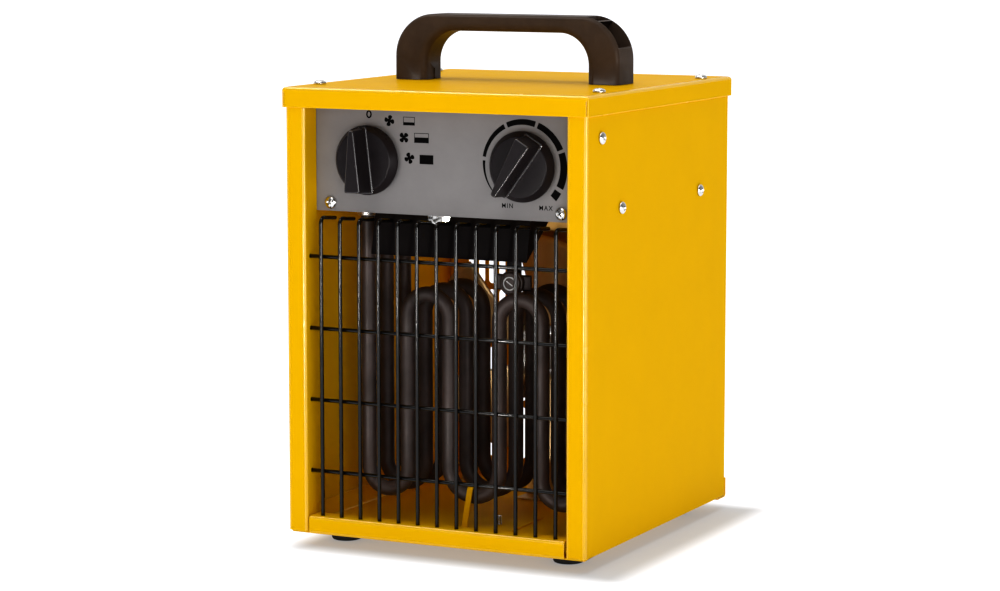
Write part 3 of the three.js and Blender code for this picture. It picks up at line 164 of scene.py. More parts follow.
YELLOW = finish("yellow_powder_coat", (0.90, 0.515, 0.002), 0.38, specular=0.005, tint=(0.985, 1.01, 30),
                wear=0.02, bumps=((420, 0.07, 0.0003), (1500, 0.07, 0.0001)))
# A glossier, slightly lighter copy of the yellow for the bends: partly real gloss that catches the glossy-only lamps,
# partly a painted highlight.
BEND_PAINTED_HIGHLIGHT = finish("yellow_bend_painted_highlight", (0.90, 0.53, 0.010), 0.24, specular=0.5, tint=(0.975, 1.02, 30), wear=0.04,
              bumps=((420, 0.05, 0.0003), (1500, 0.05, 0.0001)))
GREY = finish("grey_panel_paint", (0.290, 0.274, 0.268), 0.5, specular=0.2, tint=(0.96, 1.04, 60),
              bumps=((1100, 0.12, 0.0001),))
PRINT = finish("black_print", (0.0045, 0.0038, 0.0038), 0.6, specular=0.05, tint=(0.9, 1.1, 200),
               bumps=((2500, 0.1, 0.00005),))
# A lighter, glossier copy of the knob's material for the grip's rounded foot and crest: partly real gloss, partly a
# painted highlight.
KNOB_PAINTED_HIGHLIGHT = finish("knob_painted_highlight", (0.035, 0.030, 0.031), 0.22, specular=0.7, wear=0.02,
                   bumps=((2200, 0.08, 0.00005),))
KNOB = finish("knob_moulding", (0.026, 0.0212, 0.0225), 0.30, specular=0.15, wear=0.03, tint=(0.9, 1.15, 90),
              bumps=((2200, 0.12, 0.00008),))
HANDLE = finish("handle_moulding", (0.080, 0.056, 0.041), 0.40, specular=0.10, tint=(0.85, 1.2, 45),
                bumps=((1800, 0.2, 0.0001), (150, 0.04, 0.0005)))
WIRE = finish("wire_coating", (0.006, 0.005, 0.0042), 0.19, specular=0.42, tint=(0.8, 1.3, 120),
              bumps=((350, 0.1, 0.0003), (1500, 0.1, 0.0001)))
SHIELD = finish("shield_black", (0.011, 0.0078, 0.0078), 0.45, specular=0.16, tint=(0.8, 1.3, 50),
                bumps=((900, 0.2, 0.0001),))
SHEATH = finish("element_sheath", (0.072, 0.053, 0.048), 0.54, metallic=0.1, specular=0.4, tint=(0.6, 1.5, 22),
                wear=0.09, wear_scale=35, bumps=((500, 0.2, 0.0002), (2500, 0.15, 0.00008)))
ZINC = finish("zinc_plate", (0.72, 0.71, 0.69), 0.2, metallic=1.0, tint=(0.85, 1.05, 300), wear=0.06,
              bumps=((1500, 0.1, 0.0001),))
STEEL = finish("plain_steel", (0.55, 0.55, 0.54), 0.35, metallic=1.0, tint=(0.85, 1.1, 120), wear=0.08,
               bumps=((600, 0.15, 0.0002),), grain=(1, 6, 1))
# Aluminium tinted orange: the tint is a painted reflection of the yellow walls round the fan.
ALUMINIUM_PAINTED_REFLECTION = finish("pressed_aluminium_painted_reflection", (0.64, 0.46, 0.24), 0.46, metallic=0.7, tint=(0.93, 1.02, 60), wear=0.05,
                   bumps=((180, 0.05, 0.0005), (1400, 0.05, 0.0001)))
CHROMATE = finish("passivated_steel", (0.52, 0.33, 0.11), 0.42, metallic=0.8, tint=(0.8, 1.1, 45), wear=0.08,
                  bumps=((400, 0.12, 0.0002), (1500, 0.1, 0.0001)))
LAMINATION = finish("stacked_plates", (0.20, 0.20, 0.22), 0.45, metallic=0.9, tint=(0.7, 1.2, 70), wear=0.1,
                    bumps=((90, 0.6, 0.0006),), grain=(0.05, 22, 0.05))
COPPER = finish("bare_copper", (0.56, 0.24, 0.11), 0.32, metallic=1.0, tint=(0.8, 1.1, 90), wear=0.08,
                bumps=((800, 0.15, 0.0001),))
COIL = finish("enamelled_winding", (0.35, 0.10, 0.035), 0.35, metallic=0.6, coat=0.4, tint=(0.7, 1.2, 80),
              bumps=((60, 0.8, 0.0008),), grain=(28, 0.1, 0.1))
RUBBER = finish("foot_rubber", (0.010, 0.010, 0.010), 0.75, specular=0.35, tint=(0.8, 1.3, 150),
                bumps=((1200, 0.3, 0.0002),))
CERAMIC = finish("white_moulding", (0.62, 0.60, 0.54), 0.5, tint=(0.92, 1.04, 80), bumps=((1000, 0.15, 0.0001),))


# ---------------------------------------------------------------- mesh helpers

def shown(name, mesh, material, body=CASING, nodes=(), smooth=True):
    """A piece that rides on a body, with one material, and that hides the CAD nodes it stands for, if any."""
    mesh.materials.clear()
    mesh.materials.append(material)
    for face in mesh.polygons:
        face.use_smooth = smooth
        face.material_index = 0
    made = in_scene(name, mesh)
    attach(made, body)
    if nodes:
        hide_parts(*nodes)
    return made


def soften(made, width, segments=2, angle=SHARP):
    """Rounds the edges over that angle, and keeps flat faces flat in their shading."""
    edge = made.modifiers.new("edges", "BEVEL")
    edge.width = width * MM
    edge.segments = segments
    edge.limit_method = "ANGLE"
    edge.angle_limit = math.radians(angle)
    edge.use_clamp_overlap = True
    made.modifiers.new("flats", "WEIGHTED_NORMAL").weight = 60


def creased(made, angle):
    """Keeps the edges over that angle hard in the shading, and leaves their shape."""
    made.data.set_sharp_from_angle(angle=math.radians(angle))
    made.modifiers.new("flats", "WEIGHTED_NORMAL").keep_sharp = True


def mesh_of(form):
    """A mesh in metres from (points in millimetres, faces)."""
    points, faces = form
    mesh = bpy.data.meshes.new("form")
    mesh.from_pydata([(x * MM, y * MM, z * MM) for x, y, z in points], [], faces)
    grown = bmesh.new()
    grown.from_mesh(mesh)
    bmesh.ops.recalc_face_normals(grown, faces=grown.faces)
    grown.to_mesh(mesh)
    grown.free()
    return mesh


def together(*forms):
    points, faces = [], []
    for more_points, more_faces in forms:
        base = len(points)
        points += more_points
        faces += [tuple(i + base for i in face) for face in more_faces]
    return points, faces


def moved(form, matrix):
    return [tuple(matrix @ Vector(p)) for p in form[0]], form[1]


def shifted(form, x, y, z):
    return moved(form, Matrix.Translation((x, y, z)))


def loft(rings):
    """Rings with equal numbers of points, joined in order, with their ends capped."""
    count = len(rings[0])
    points = [tuple(p) for ring in rings for p in ring]
    faces = []
    for base in range(0, len(points) - count, count):
        for i in range(count):
            j = (i + 1) % count
            faces.append((base + i, base + j, base + count + j, base + count + i))
    faces.append(tuple(range(count))[::-1])
    faces.append(tuple(range(len(points) - count, len(points))))
    return points, faces


def arc(ca, cb, radius, start, end, steps):
    """Points on a round stretch, between two angles in degrees."""
    angles = [math.radians(start + (end - start) * i / steps) for i in range(steps + 1)]
    return [(ca + radius * math.cos(a), cb + radius * math.sin(a)) for a in angles]


def lathe(profile, sides):
    """Revolves (radius, height) about Z. Points on the axis close the form."""
    turns = [2 * math.pi * i / sides for i in range(sides)]
    points, faces, rows = [], [], []
    for radius, height in profile:
        if radius == 0:
            rows.append([len(points)] * sides)
            points.append((0.0, 0.0, height))
            continue
        rows.append(list(range(len(points), len(points) + sides)))
        points += [(radius * math.cos(turn), radius * math.sin(turn), height) for turn in turns]
    for low, high in zip(rows, rows[1:]):
        for i in range(sides):
            j = (i + 1) % sides
            face = []
            for index in (low[i], low[j], high[j], high[i]):
                if index not in face:
                    face.append(index)
            if len(face) > 2:
                faces.append(tuple(face))
    return points, faces


def prism(axis, outline, start, end):
    """An outline drawn across the axis (XY for z, XZ for y), pushed from start to end."""
    place = {"z": lambda a, b, d: (a, b, d), "y": lambda a, b, d: (a, d, b)}[axis]
    return loft([[place(a, b, start) for a, b in outline], [place(a, b, end) for a, b in outline]])


def tube(path, radius, sides):
    """A round rod along points, its rings carried along without twist. radius may be a list."""
    points = [Vector(p) for p in path]
    sizes = radius if isinstance(radius, list) else [radius] * len(points)
    turns = [2 * math.pi * i / sides for i in range(sides)]
    rings, side = [], None
    for i, point in enumerate(points):
        along = (points[min(i + 1, len(points) - 1)] - points[max(i - 1, 0)]).normalized()
        if side is None:
            side = along.orthogonal().normalized()
        side = (side - along * side.dot(along)).normalized()
        other = along.cross(side)
        rings.append([tuple(point + (side * math.cos(turn) + other * math.sin(turn)) * sizes[i]) for turn in turns])
    return loft(rings)


def bent(corners, radii, steps, to_space):
    """Points of a flat rod line with round corners."""
    nearest = 1e-4
    flat = [Vector(c) for c in corners]
    path = [flat[0]]
    for i in range(1, len(flat) - 1):
        inward = (flat[i] - flat[i - 1]).normalized()
        onward = (flat[i + 1] - flat[i]).normalized()
        angle = inward.angle(onward)
        turn = 1.0 if inward.x * onward.y - inward.y * onward.x > 0 else -1.0
        radius = radii[i - 1]
        start = flat[i] - inward * radius * math.tan(angle / 2)
        centre = start + Vector((-inward.y, inward.x)) * turn * radius
        for k in range(steps + 1):
            spin = Matrix.Rotation(turn * angle * k / steps, 2)
            point = centre + spin @ (start - centre)
            if (point - path[-1]).length > nearest:
                path.append(point)
    path.append(flat[-1])
    return [to_space(p.x, p.y) for p in path]


def mesh_from(made):
    """The finished mesh of an object that only served to make it, and is removed."""
    bpy.context.view_layer.update()
    mesh = bpy.data.meshes.new_from_object(made.evaluated_get(bpy.context.evaluated_depsgraph_get()))
    bpy.data.objects.remove(made)
    return mesh


def in_scene(name, data):
    """A new object in the scene, with that mesh, curve, lamp or camera."""
    made = bpy.data.objects.new(name, data)
    bpy.context.scene.collection.objects.link(made)
    return made


def cut(form, *cutters, operation="DIFFERENCE"):
    """The mesh of a form after exact cuts (or joins) with others."""
    target = in_scene("target", mesh_of(form))
    tools = [in_scene("tool", mesh_of(cutter)) for cutter in cutters]
    for tool in tools:
        step = target.modifiers.new("cut", "BOOLEAN")
        step.operation, step.solver, step.object = operation, "EXACT", tool
    mesh = mesh_from(target)
    for tool in tools:
        bpy.data.objects.remove(tool)
    return mesh


def refined(name, material, width, body=CASING, bend=None):
    """A CAD node's form with its flat faces made whole and its edges rounded. With bend, long edges between large
    faces have that wider radius, and they and all slanting faces take a glossier, slightly lighter copy of the
    yellow: real gloss that catches the lamps, and a painted highlight."""
    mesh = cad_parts[name].data.copy()
    form = bmesh.new()
    form.from_mesh(mesh)
    bmesh.ops.remove_doubles(form, verts=form.verts, dist=SAME)
    bmesh.ops.dissolve_limit(form, angle_limit=FLAT, verts=form.verts, edges=form.edges)
    if bend:
        share = form.edges.layers.float.new("bevel_weight_edge")
        for edge in form.edges:
            if len(edge.link_faces) == 2 and edge.calc_face_angle(0) >= math.radians(SHARP):
                large = min(face.calc_area() for face in edge.link_faces) > BEND_FACE
                edge[share] = 1.0 if large and edge.calc_length() > BEND_LENGTH else width / bend
    form.to_mesh(mesh)
    form.free()
    for layer in [a for a in mesh.attributes if a.name == "custom_normal"]:
        mesh.attributes.remove(layer)
    made = shown(name + "_form", mesh, material, body, nodes=[name])
    if not bend:
        soften(made, width)
        return made
    soften(made, bend, 4)
    # The bends and slanting faces take the painted-highlight copy of the yellow.
    made.data.materials.append(BEND_PAINTED_HIGHLIGHT)
    for face in made.data.polygons:
        face.material_index = int(max(abs(part) for part in face.normal) < SQUARE)
    edges = made.modifiers["edges"]
    edges.material = 1
    edges.limit_method, edges.use_clamp_overlap = "WEIGHT", False
    return made


# ---------------------------------------------------------------- camera, floor and light, in metres and watts

def set_up_camera():
    """The camera stands where the photograph was taken from."""
    azimuth, elevation = math.radians(26.09), math.radians(7.48)
    level = math.cos(elevation)
    look = Vector((-math.sin(azimuth) * level, math.cos(azimuth) * level, -math.sin(elevation)))
    data = bpy.data.cameras.new("camera")
    data.lens, data.sensor_width, data.clip_end = 108.0, 36.0, 200.0
    camera = in_scene("camera", data)
    camera.location = (0.8319, -1.7182, 0.4009)
    camera.rotation_euler = look.to_track_quat("-Z", "Y").to_euler()
    bpy.context.scene.camera = camera


def set_up_floor():
    """A white floor that glows a little, less so under and close round the heater, where the dimmer glowing is a
    painted shadow.
    """
    half, below = 40000.0, -0.2
    shadow_shift = 0.015
    corners = [(-half, -half, below), (half, -half, below), (half, half, below), (-half, half, below)]
    floor = in_scene("floor", mesh_of((corners, [(0, 1, 2, 3)])))
    pale = finish("pale_floor", (0.4, 0.4, 0.4), 0.8, specular=0.1, tint=(0.995, 1.0, 3), bumps=())
    tree = pale.node_tree
    shader = tree.nodes["Principled BSDF"]
    # A touch of blue in the floor's glowing keeps the painted shadow grey beside the yellow sides.
    shader.inputs["Emission Color"].default_value = rgba((0.98, 1.0, 1.05))
    place = node(tree, "ShaderNodeTexCoord").outputs["Object"]
    centred = vector_math(tree, "SUBTRACT", place, (shadow_shift, 0, 0))
    away = vector_math(tree, "ABSOLUTE", centred)
    beyond = vector_math(tree, "SUBTRACT", away, (HALF_W * MM, REAR * MM, 0))
    outside = vector_math(tree, "MAXIMUM", beyond)
    reach = vector_math(tree, "LENGTH", outside)
    # Dimmer glowing under and near the heater, shifted a little to the right: a painted shadow on the floor.
    floor_glow_and_painted_shadow = map_range(tree, reach, (-0.002, 0.024), (0.22, 0.66))
    tree.links.new(floor_glow_and_painted_shadow, shader.inputs["Emission Strength"])
    floor.data.materials.append(pale)


def area(name, place, target, size, power, color=(1, 1, 1), diffuse=True):
    """A soft box. Without diffuse it only shows in reflections."""
    data = bpy.data.lights.new(name, "AREA")
    data.shape, data.size, data.size_y = "RECTANGLE", size[0], size[1]
    data.energy, data.color = power, color
    lamp = in_scene(name, data)
    lamp.location = place
    lamp.visible_diffuse = diffuse
    lamp.rotation_euler = (Vector(target) - Vector(place)).to_track_quat("-Z", "Y").to_euler()


def set_up_light():
    """A bright room that is dimmer in front and to the right, four soft boxes, and three lamps that only show in
    reflections, as light lines on the element tubes and along the bends of the sheets."""
    scene = bpy.context.scene
    scene.view_settings.view_transform = "Standard"
    scene.view_settings.look = "High Contrast"
    world = bpy.data.worlds.new("studio")
    world.use_nodes = True
    scene.world = world
    tree = world.node_tree
    link = tree.links.new
    split = node(tree, "ShaderNodeSeparateXYZ")
    link(node(tree, "ShaderNodeTexCoord").outputs["Generated"], split.inputs["Vector"])
    depth = map_range(tree, split.outputs["Y"], (-0.7, 0.5), (0.15, 0.72))
    sideways = map_range(tree, split.outputs["X"], (-0.2, 0.9), (1.0, 0.35))
    both = node(tree, "ShaderNodeMath", operation="MULTIPLY")
    link(depth, both.inputs[0])
    link(sideways, both.inputs[1])
    ground = tree.nodes["Background"]
    ground.inputs["Color"].default_value = rgba((1, 1, 1))
    link(both.outputs["Value"], ground.inputs["Strength"])
    area("key", (-0.2, -2.5, 0.5), (0, 0, 0.12), (0.22, 1.2), 2)
    area("fill", (1.6, -1.9, 0.6), (0, 0, 0.12), (0.8, 0.8), 8)
    area("high", (0.2, -1.6, 2.0), (0, 0, 0.15), (1.2, 1.2), 5)
    area("over", (0.1, -0.5, 2.5), (0, 0, 0.15), (1.2, 1.2), 12)
    area("edge", (-0.03, -0.75, 0.065), (-0.03, 0, 0.065), (0.03, 0.13), 2.0, (1.0, 0.95, 0.9), diffuse=False)
    area("bend_top", (-0.88, -0.37, 2.06), (0, -0.1, 0.28), (0.8, 0.8), 16, diffuse=False)
    area("bend_side", (1.0, -0.62, 0.16), (0.05, -0.1, 0.16), (0.7, 0.3), 5.5, diffuse=False)


# ---------------------------------------------------------------- casing

def casing():
    """The sheets of the casing, and what is fixed to them in the heating chamber."""
    shield_widening = 1.07
    for name in ("top_cover", "side_panel_left", "side_panel_right", "bottom_tray"):
        refined(name, YELLOW, 0.3, bend=1.5)
    refined("compartment_shelf", YELLOW, 0.25)
    refined("control_panel", GREY, 0.3)
    shield = refined("heat_shield", SHIELD, 0.2)
    shield.data.transform(Matrix.Diagonal((shield_widening, 1.0, 1.0, 1.0)))
    refined("cutout_strip", SHIELD, 0.2)
    rear_panel()
    element_clip()
    shield_button()


def element_clip():
    """A foot screwed to the tray, with a thin prong that leans to the right and hooks over the front element."""
    bottom, top, hole_r = 9.0, 10.0, 2.1
    half, half_sheet, hook = 1.9, 0.5, -61.5
    foot = prism("z", [(-6.5, -62.6), (-1.5, -62.6), (27.0, -60.0), (27.0, -11.1), (-6.5, -11.1)], bottom, top)
    hole = lathe([(0, bottom - 1), (hole_r, bottom - 1), (hole_r, top + 1), (0, top + 1)], 24)
    mesh = cut(foot, shifted(hole, CLIP_SCREW_X, CLIP_SCREW_Y, 0))
    rings = []
    for x, y, z in ((-4.0, -62.2, 9.2), (-3.3, -62.4, 14.0), (-1.6, -62.6, 24.0), (0.0, -62.4, 34.0),
                    (0.4, -62.0, 36.0), (0.6, -61.0, 36.7), (0.9, -56.5, 36.8)):
        dy, dz = (0.0, half_sheet) if y > hook else (half_sheet, 0.0)
        rings.append([(x - half, y - dy, z + dz), (x + half, y - dy, z + dz),
                      (x + half, y + dy, z - dz), (x - half, y + dy, z - dz)])
    form = bmesh.new()
    form.from_mesh(mesh)
    form.from_mesh(mesh_of(loft(rings)))
    form.to_mesh(mesh)
    form.free()
    soften(shown("element_clip_form", mesh, YELLOW, nodes=["element_clip"]), 0.15, angle=TURNED)


def shield_button():
    """The low domed head at the front of the heat shield, just behind the ends of the grille's wires. What would
    reach into the shelf is cut off."""
    dome = lathe([(0, 0), (7.9, 0), (8.0, 0.3), (7.6, 0.8), (4.5, 1.5), (3.9, 1.6), (3.5, 2.1), (0, 2.3)], 40)
    place = Matrix.Translation((-9.0, -85.9, 208.2)) @ TO_FRONT
    above = prism("z", [(-20, -100), (20, -100), (20, -70), (-20, -70)], SHELF_BOTTOM - 0.2, SHELF_BOTTOM + 20)
    mesh = cut(moved(dome, place), above)
    soften(shown("shield_button", mesh, ZINC), 0.15, angle=TURNED)


def rear_panel():
    """A flat sheet with rows of round-ended slots, and holes for the cable gland and the screws."""
    half, low, high, half_sheet = 100.9, 9.0, 285.0, 0.5
    columns, rows, pitch, row_pitch, web, slot_end = 23, 4, 7.7, 40.0, 4.0, 2.5
    first = FLOOR_TOP + 11
    gland_hole, screw_hole = 8.3, 2.2
    curve = bpy.data.curves.new("plate", "CURVE")
    curve.dimensions, curve.fill_mode, curve.extrude = "2D", "BOTH", half_sheet * MM

    def outline(points):
        spline = curve.splines.new("POLY")
        spline.points.add(len(points) - 1)
        for point, (x, z) in zip(spline.points, points):
            point.co = (x * MM, z * MM, 0, 1)
        spline.use_cyclic_u = True

    outline([(-half, low), (half, low), (half, high), (-half, high)])
    for column in range(columns):
        x = (column - (columns - 1) / 2) * pitch
        for row in range(rows):
            bottom = first + row * row_pitch + web / 2
            top = bottom + row_pitch - web
            outline(arc(x, top - slot_end, slot_end, 0, 180, 10) + arc(x, bottom + slot_end, slot_end, 180, 360, 10))
    outline(arc(GLAND_X, GLAND_Z, gland_hole, 0, 360, 32)[:-1])
    for x in (-REAR_SCREW_X, REAR_SCREW_X):
        for z in (REAR_SCREW_LOW, REAR_SCREW_HIGH):
            outline(arc(x, z, screw_hole, 0, 360, 16)[:-1])
    mesh = mesh_from(in_scene("plate", curve))
    mesh.transform(Matrix.Translation((0, (REAR_PANEL + half_sheet) * MM, 0)) @ TO_FRONT)
    form = bmesh.new()
    form.from_mesh(mesh)
    bmesh.ops.remove_doubles(form, verts=form.verts, dist=SAME)
    bmesh.ops.recalc_face_normals(form, faces=form.faces)
    form.to_mesh(mesh)
    form.free()
    shown("rear_panel_form", mesh, YELLOW, nodes=["rear_panel"], smooth=False)


# ---------------------------------------------------------------- printed marks

def marks():
    """Flat printed marks, a few hundredths of a millimetre proud of the panel: zero, pinwheels, filled levels and
    the dial's band. The two words stand below the dial."""
    face = PANEL_FRONT - 0.03
    overlap = 0.004
    sheets = []

    def patch(outline, lift=0.0):
        sheets.append(([(x, face - lift, z) for x, z in outline], [tuple(range(len(outline)))]))

    def strip(outer, inner, closed=False):
        """What lies between two lines with equal numbers of points."""
        count = len(outer)
        sheets.append(([(x, face, z) for x, z in outer + inner],
                       [(i, (i + 1) % count, count + (i + 1) % count, count + i)
                        for i in range(count if closed else count - 1)]))

    def level(x0, z0, x1, z1, fill, line=0.35):
        base = z0 + (z1 - z0) * fill
        patch([(x0, z0), (x1, z0), (x1, base), (x0, base)])
        if fill < 1:
            patch([(x0, base), (x0 + line, base), (x0 + line, z1), (x0, z1)])
            patch([(x1 - line, base), (x1, base), (x1, z1), (x1 - line, z1)])
            patch([(x0 + line, z1 - line), (x1 - line, z1 - line), (x1 - line, z1), (x0 + line, z1)])

    def pinwheel(x, z, turn, size=3.1):
        blade = [(-0.2, 0.0), (-0.1, 0.35), (-0.2, 0.66), (-0.12, 0.94), (0.14, 1.06), (0.48, 1.02), (0.74, 0.80),
                 (0.68, 0.52), (0.46, 0.32), (0.3, 0.02)]
        for k in range(4):
            angle = math.radians(turn + 90 * k)
            patch([(x + size * (a * math.cos(angle) - b * math.sin(angle)),
                    z + size * (a * math.sin(angle) + b * math.cos(angle))) for a, b in blade], overlap * k)

    def oval(x, z, width, height):
        turns = [math.radians(a) for a in range(0, 360, 10)]
        return [(x + width / 2 * math.cos(a), z + height / 2 * math.sin(a)) for a in turns]

    pinwheel(-37.7, 267.7, 8)
    pinwheel(-27.6, 257.6, -22)
    pinwheel(-23.9, 245.1, -50)
    level(-28.1, 265.2, -20.1, 270.4, 0.36)
    level(-20.5, 254.7, -10.5, 260.7, 0.55)
    level(-16.8, 241.8, -7.4, 247.4, 1.0)
    zero_x, zero_z = -51.9, 271.2
    strip(oval(zero_x, zero_z, 3.9, 4.9), oval(zero_x, zero_z, 1.9, 3.1), closed=True)
    centre_x, inner_r, step = THERMOSTAT_X - 1.0, 25.1, 4
    # the dial's segments: where each begins and ends, clockwise in degrees from straight down, and its thickness
    # at both places
    for begin, end, thin, thick in ((52, 96, 0.6, 1.7), (101, 153, 2.1, 3.0), (157, 198, 3.2, 3.6),
                                    (202, 247, 3.7, 4.1), (251, 296, 4.4, 4.8), (301, 312, 4.8, 4.9)):
        steps = max(2, int((end - begin) / step))
        outer, inner = [], []
        for i in range(steps + 1):
            part = i / steps
            angle = math.radians(-90 - (begin + (end - begin) * part))
            outer_r = inner_r + thin + (thick - thin) * part
            outer.append((centre_x + outer_r * math.cos(angle), KNOB_Z + outer_r * math.sin(angle)))
            inner.append((centre_x + inner_r * math.cos(angle), KNOB_Z + inner_r * math.sin(angle)))
        strip(outer, inner)
    shown("printed_marks", mesh_of(together(*sheets)), PRINT, smooth=False)
    for text, x, z in (("MIN", 42.9, 218.7), ("MAX", 68.5, 218.3)):
        word(text, x, face, z, 2.9)


def word(text, x, y, z, height):
    """Narrow, widely spaced capitals, a little bolder than the plain letters."""
    size_of_height, spacing, boldness, narrowing = 1.38, 1.28, 0.04, 0.92
    curve = bpy.data.curves.new(text, "FONT")
    curve.body, curve.size, curve.align_x, curve.align_y = text, height * size_of_height * MM, "CENTER", "CENTER"
    curve.space_character = spacing
    curve.offset = boldness * MM
    curve.resolution_u = 4
    mesh = mesh_from(in_scene(text, curve))
    upright = Matrix.Translation((x * MM, y * MM, z * MM)) @ TO_FRONT
    mesh.transform(upright @ Matrix.Diagonal((narrowing, 1.0, 1.0, 1.0)))
    shown("mark_" + text.lower(), mesh, PRINT, smooth=False)


# ---------------------------------------------------------------- knobs

def grip_ring(height, inset):
    """One level of the grip: a wedge with its wide end below and its pointer above."""
    wide, narrow, tail, nib = 5.3 - inset, 1.9 - inset * 0.7, 18.8 - inset, 19.5 - inset
    corner = 1.2
    lower = [(wide - corner * (1 - math.cos(math.radians(a))), -(tail - corner) - corner * math.sin(math.radians(a)))
             for a in (0, 30, 60, 90)]
    upper = [(-narrow, nib - 1.4), (-narrow * 0.8, nib - 0.4), (-narrow * 0.4, nib)]
    ring = lower + [(-x, y) for x, y in reversed(lower)] + upper + [(-x, y) for x, y in reversed(upper)]
    return [(x, y, height) for x, y in ring]


def knob(name, x, lean, body):
    """A round skirt with the grip joined to it. The grip's foot and crest are rounded, and carry a lighter, glossier
    copy of the knob's material: a painted highlight.
    """
    face, top, splay = 6.0, 21.0, -0.6
    foot, foot_r, waist, waist_inset, crest_r = face + 0.02, 0.9, 13.0, -0.3, 0.8
    bands = ((6.03, 6.9), (20.2, 20.98))
    profile = [(0, 0.8), (5, 0.8), (5, 3.8), (16.8, 3.8), (19.9, 0.0), (21.3, 0.0), (21.5, 0.25), (21.5, 1.3),
               (21.35, 1.7), (18.75, 5.45), (18.45, 5.8), (18.0, face), (12, face), (4, face), (0, face)]
    turns = [math.radians(a) for a in (0, 22, 45, 68, 90)]
    rings = [grip_ring(face - 1, splay - foot_r)]
    rings += [grip_ring(foot + foot_r * (1 - math.cos(a)), splay - foot_r * (1 - math.sin(a))) for a in turns]
    rings.append(grip_ring(waist, waist_inset))
    rings += [grip_ring(top - crest_r + crest_r * math.sin(a), crest_r * (1 - math.cos(a))) for a in turns]
    mesh = cut(lathe(profile, 96), loft(rings), operation="UNION")
    # Faces in the rounded bands of foot and crest, which take the painted highlight.
    rounded = [face.index for face in mesh.polygons
               if any(low < face.center.z / MM < high for low, high in bands)]
    place = Matrix.Translation((x * MM, KNOB_BACK * MM, KNOB_Z * MM)) @ TO_FRONT
    mesh.transform(place @ Matrix.Rotation(math.radians(lean), 4, "Z"))
    made = shown(name + "_form", mesh, KNOB, body, nodes=[name])
    mesh.materials.append(KNOB_PAINTED_HIGHLIGHT)
    for index in rounded:
        mesh.polygons[index].material_index = 1
    creased(made, 32)


# ---------------------------------------------------------------- handle

def arch(y, inset, top, half, bend, base, steps=18):
    """One line along the handle: up the right post, over and down the left one, that much inside the outline."""
    points = [(half - inset, base)]
    points += arc(half - bend, top - bend, bend - inset, 0, 90, steps)
    points += arc(-half + bend, top - bend, bend - inset, 90, 180, steps)
    points.append((-half + inset, base))
    return [(x, y, z) for x, z in points]


def handle():
    """An arch with round edges and a dished inner side, with two pockets let into the outside of each bend and
    a notch at the inside of each foot."""
    half, top, depth, edge, bend = 78.5, 42.0, 13.0, 2.8, 27.0
    thick, post, inner_bend, flare = 10.6, 22.0, 20.0, 5.4
    wall, past, deep = 3, 4, 9
    rings = []
    for sign, angles in ((1, (90, 60, 30, 0)), (-1, (0, 30, 60, 90))):
        for lean in map(math.radians, angles):
            y = sign * (depth - edge + edge * math.sin(lean))
            rings.append(arch(y, edge * (1 - math.cos(lean)), top, half, bend, 0.0))
    stations = (-1, -0.85, -0.65, -0.4, -0.2, 0)
    throat = [(1, -1, 0.5)] + [(1, t, 0) for t in stations] + [(-1, t, 0) for t in stations[::-1]] + [(-1, -1, 0.5)]
    cutters = [loft([arch(sign * (depth + over - (1 + t) * flare), -flare * (1 - math.sqrt(1 - t * t)), top - thick,
                          half - post, inner_bend, -1.0) for sign, t, over in throat])]
    pocket = depth - wall
    for begin, end in ((17, 62), (65, 84)):
        steps = max(3, (end - begin) // 5)
        outline = (arc(half - bend, top - bend, bend + past, begin, end, steps)
                   + arc(half - bend, top - bend, bend - deep, end, begin, steps))
        cutters.append(prism("y", outline, -pocket, pocket))
        cutters.append(prism("y", [(-x, z) for x, z in outline], -pocket, pocket))
    notch_in, notch_out, notch_half, notch_top = 1, 2.5, 1, 7
    for side in (-1, 1):
        low, high = sorted((side * (half - post - notch_in), side * (half - post + notch_out)))
        outline = [(low, -notch_half), (high, -notch_half), (high, notch_half), (low, notch_half)]
        cutters.append(prism("z", outline, -1, notch_top))
    mesh = cut(loft(rings), *cutters)
    mesh.transform(Matrix.Translation((0, 0, COVER_FACE * MM)))
    soften(shown("carry_handle_form", mesh, HANDLE, nodes=["carry_handle"]), 0.5, angle=42)


# ---------------------------------------------------------------- grille and elements

def grille():
    """Upright wires bent back at the top, welded to cross wires behind them."""
    wires, pitch, radius, sides = 13, 13.4, 1.25, 14
    bottom, top, tip_y, tip_z, bend = 15.2, 207.0, -89.4, 205.2, 3.5
    cross_wires, first, cross_pitch = 4, FLOOR_TOP + 38.4, 45.1
    cross_end, tapered_end, taper = 92.5, 93.0, 0.8
    weld_y = WIRE_Y + 1.05
    columns = [(i - (wires - 1) / 2) * pitch for i in range(wires)]
    forms = []
    for x in columns:
        path = bent([(WIRE_Y, bottom), (WIRE_Y, top), (tip_y, tip_z)], [bend], 8, lambda y, z, x=x: (x, y, z))
        path.insert(1, (x, WIRE_Y, bottom + 0.8))
        forms.append(tube(path, [radius * 0.7] + [radius] * (len(path) - 1), sides))
    for i in range(cross_wires):
        z = first + cross_pitch * i
        line = [(x, CROSS_Y, z) for x in (-tapered_end, -cross_end, 0, cross_end, tapered_end)]
        forms.append(tube(line, [taper, radius, radius, radius, taper], sides))
        forms += [weld(x, weld_y, z) for x in columns]
    made = shown("outlet_grille_form", mesh_of(together(*forms)), WIRE, nodes=["outlet_grille"])
    made.data.set_sharp_from_angle(angle=math.radians(WIRE_CREASE))


def weld(x, y, z):
    """The squashed lump of metal and coating where two wires cross."""
    form = lathe([(0, -1.0), (0.9, -0.8), (1.5, 0), (0.9, 0.8), (0, 1.0)], 12)
    return shifted(form, x, y, z)


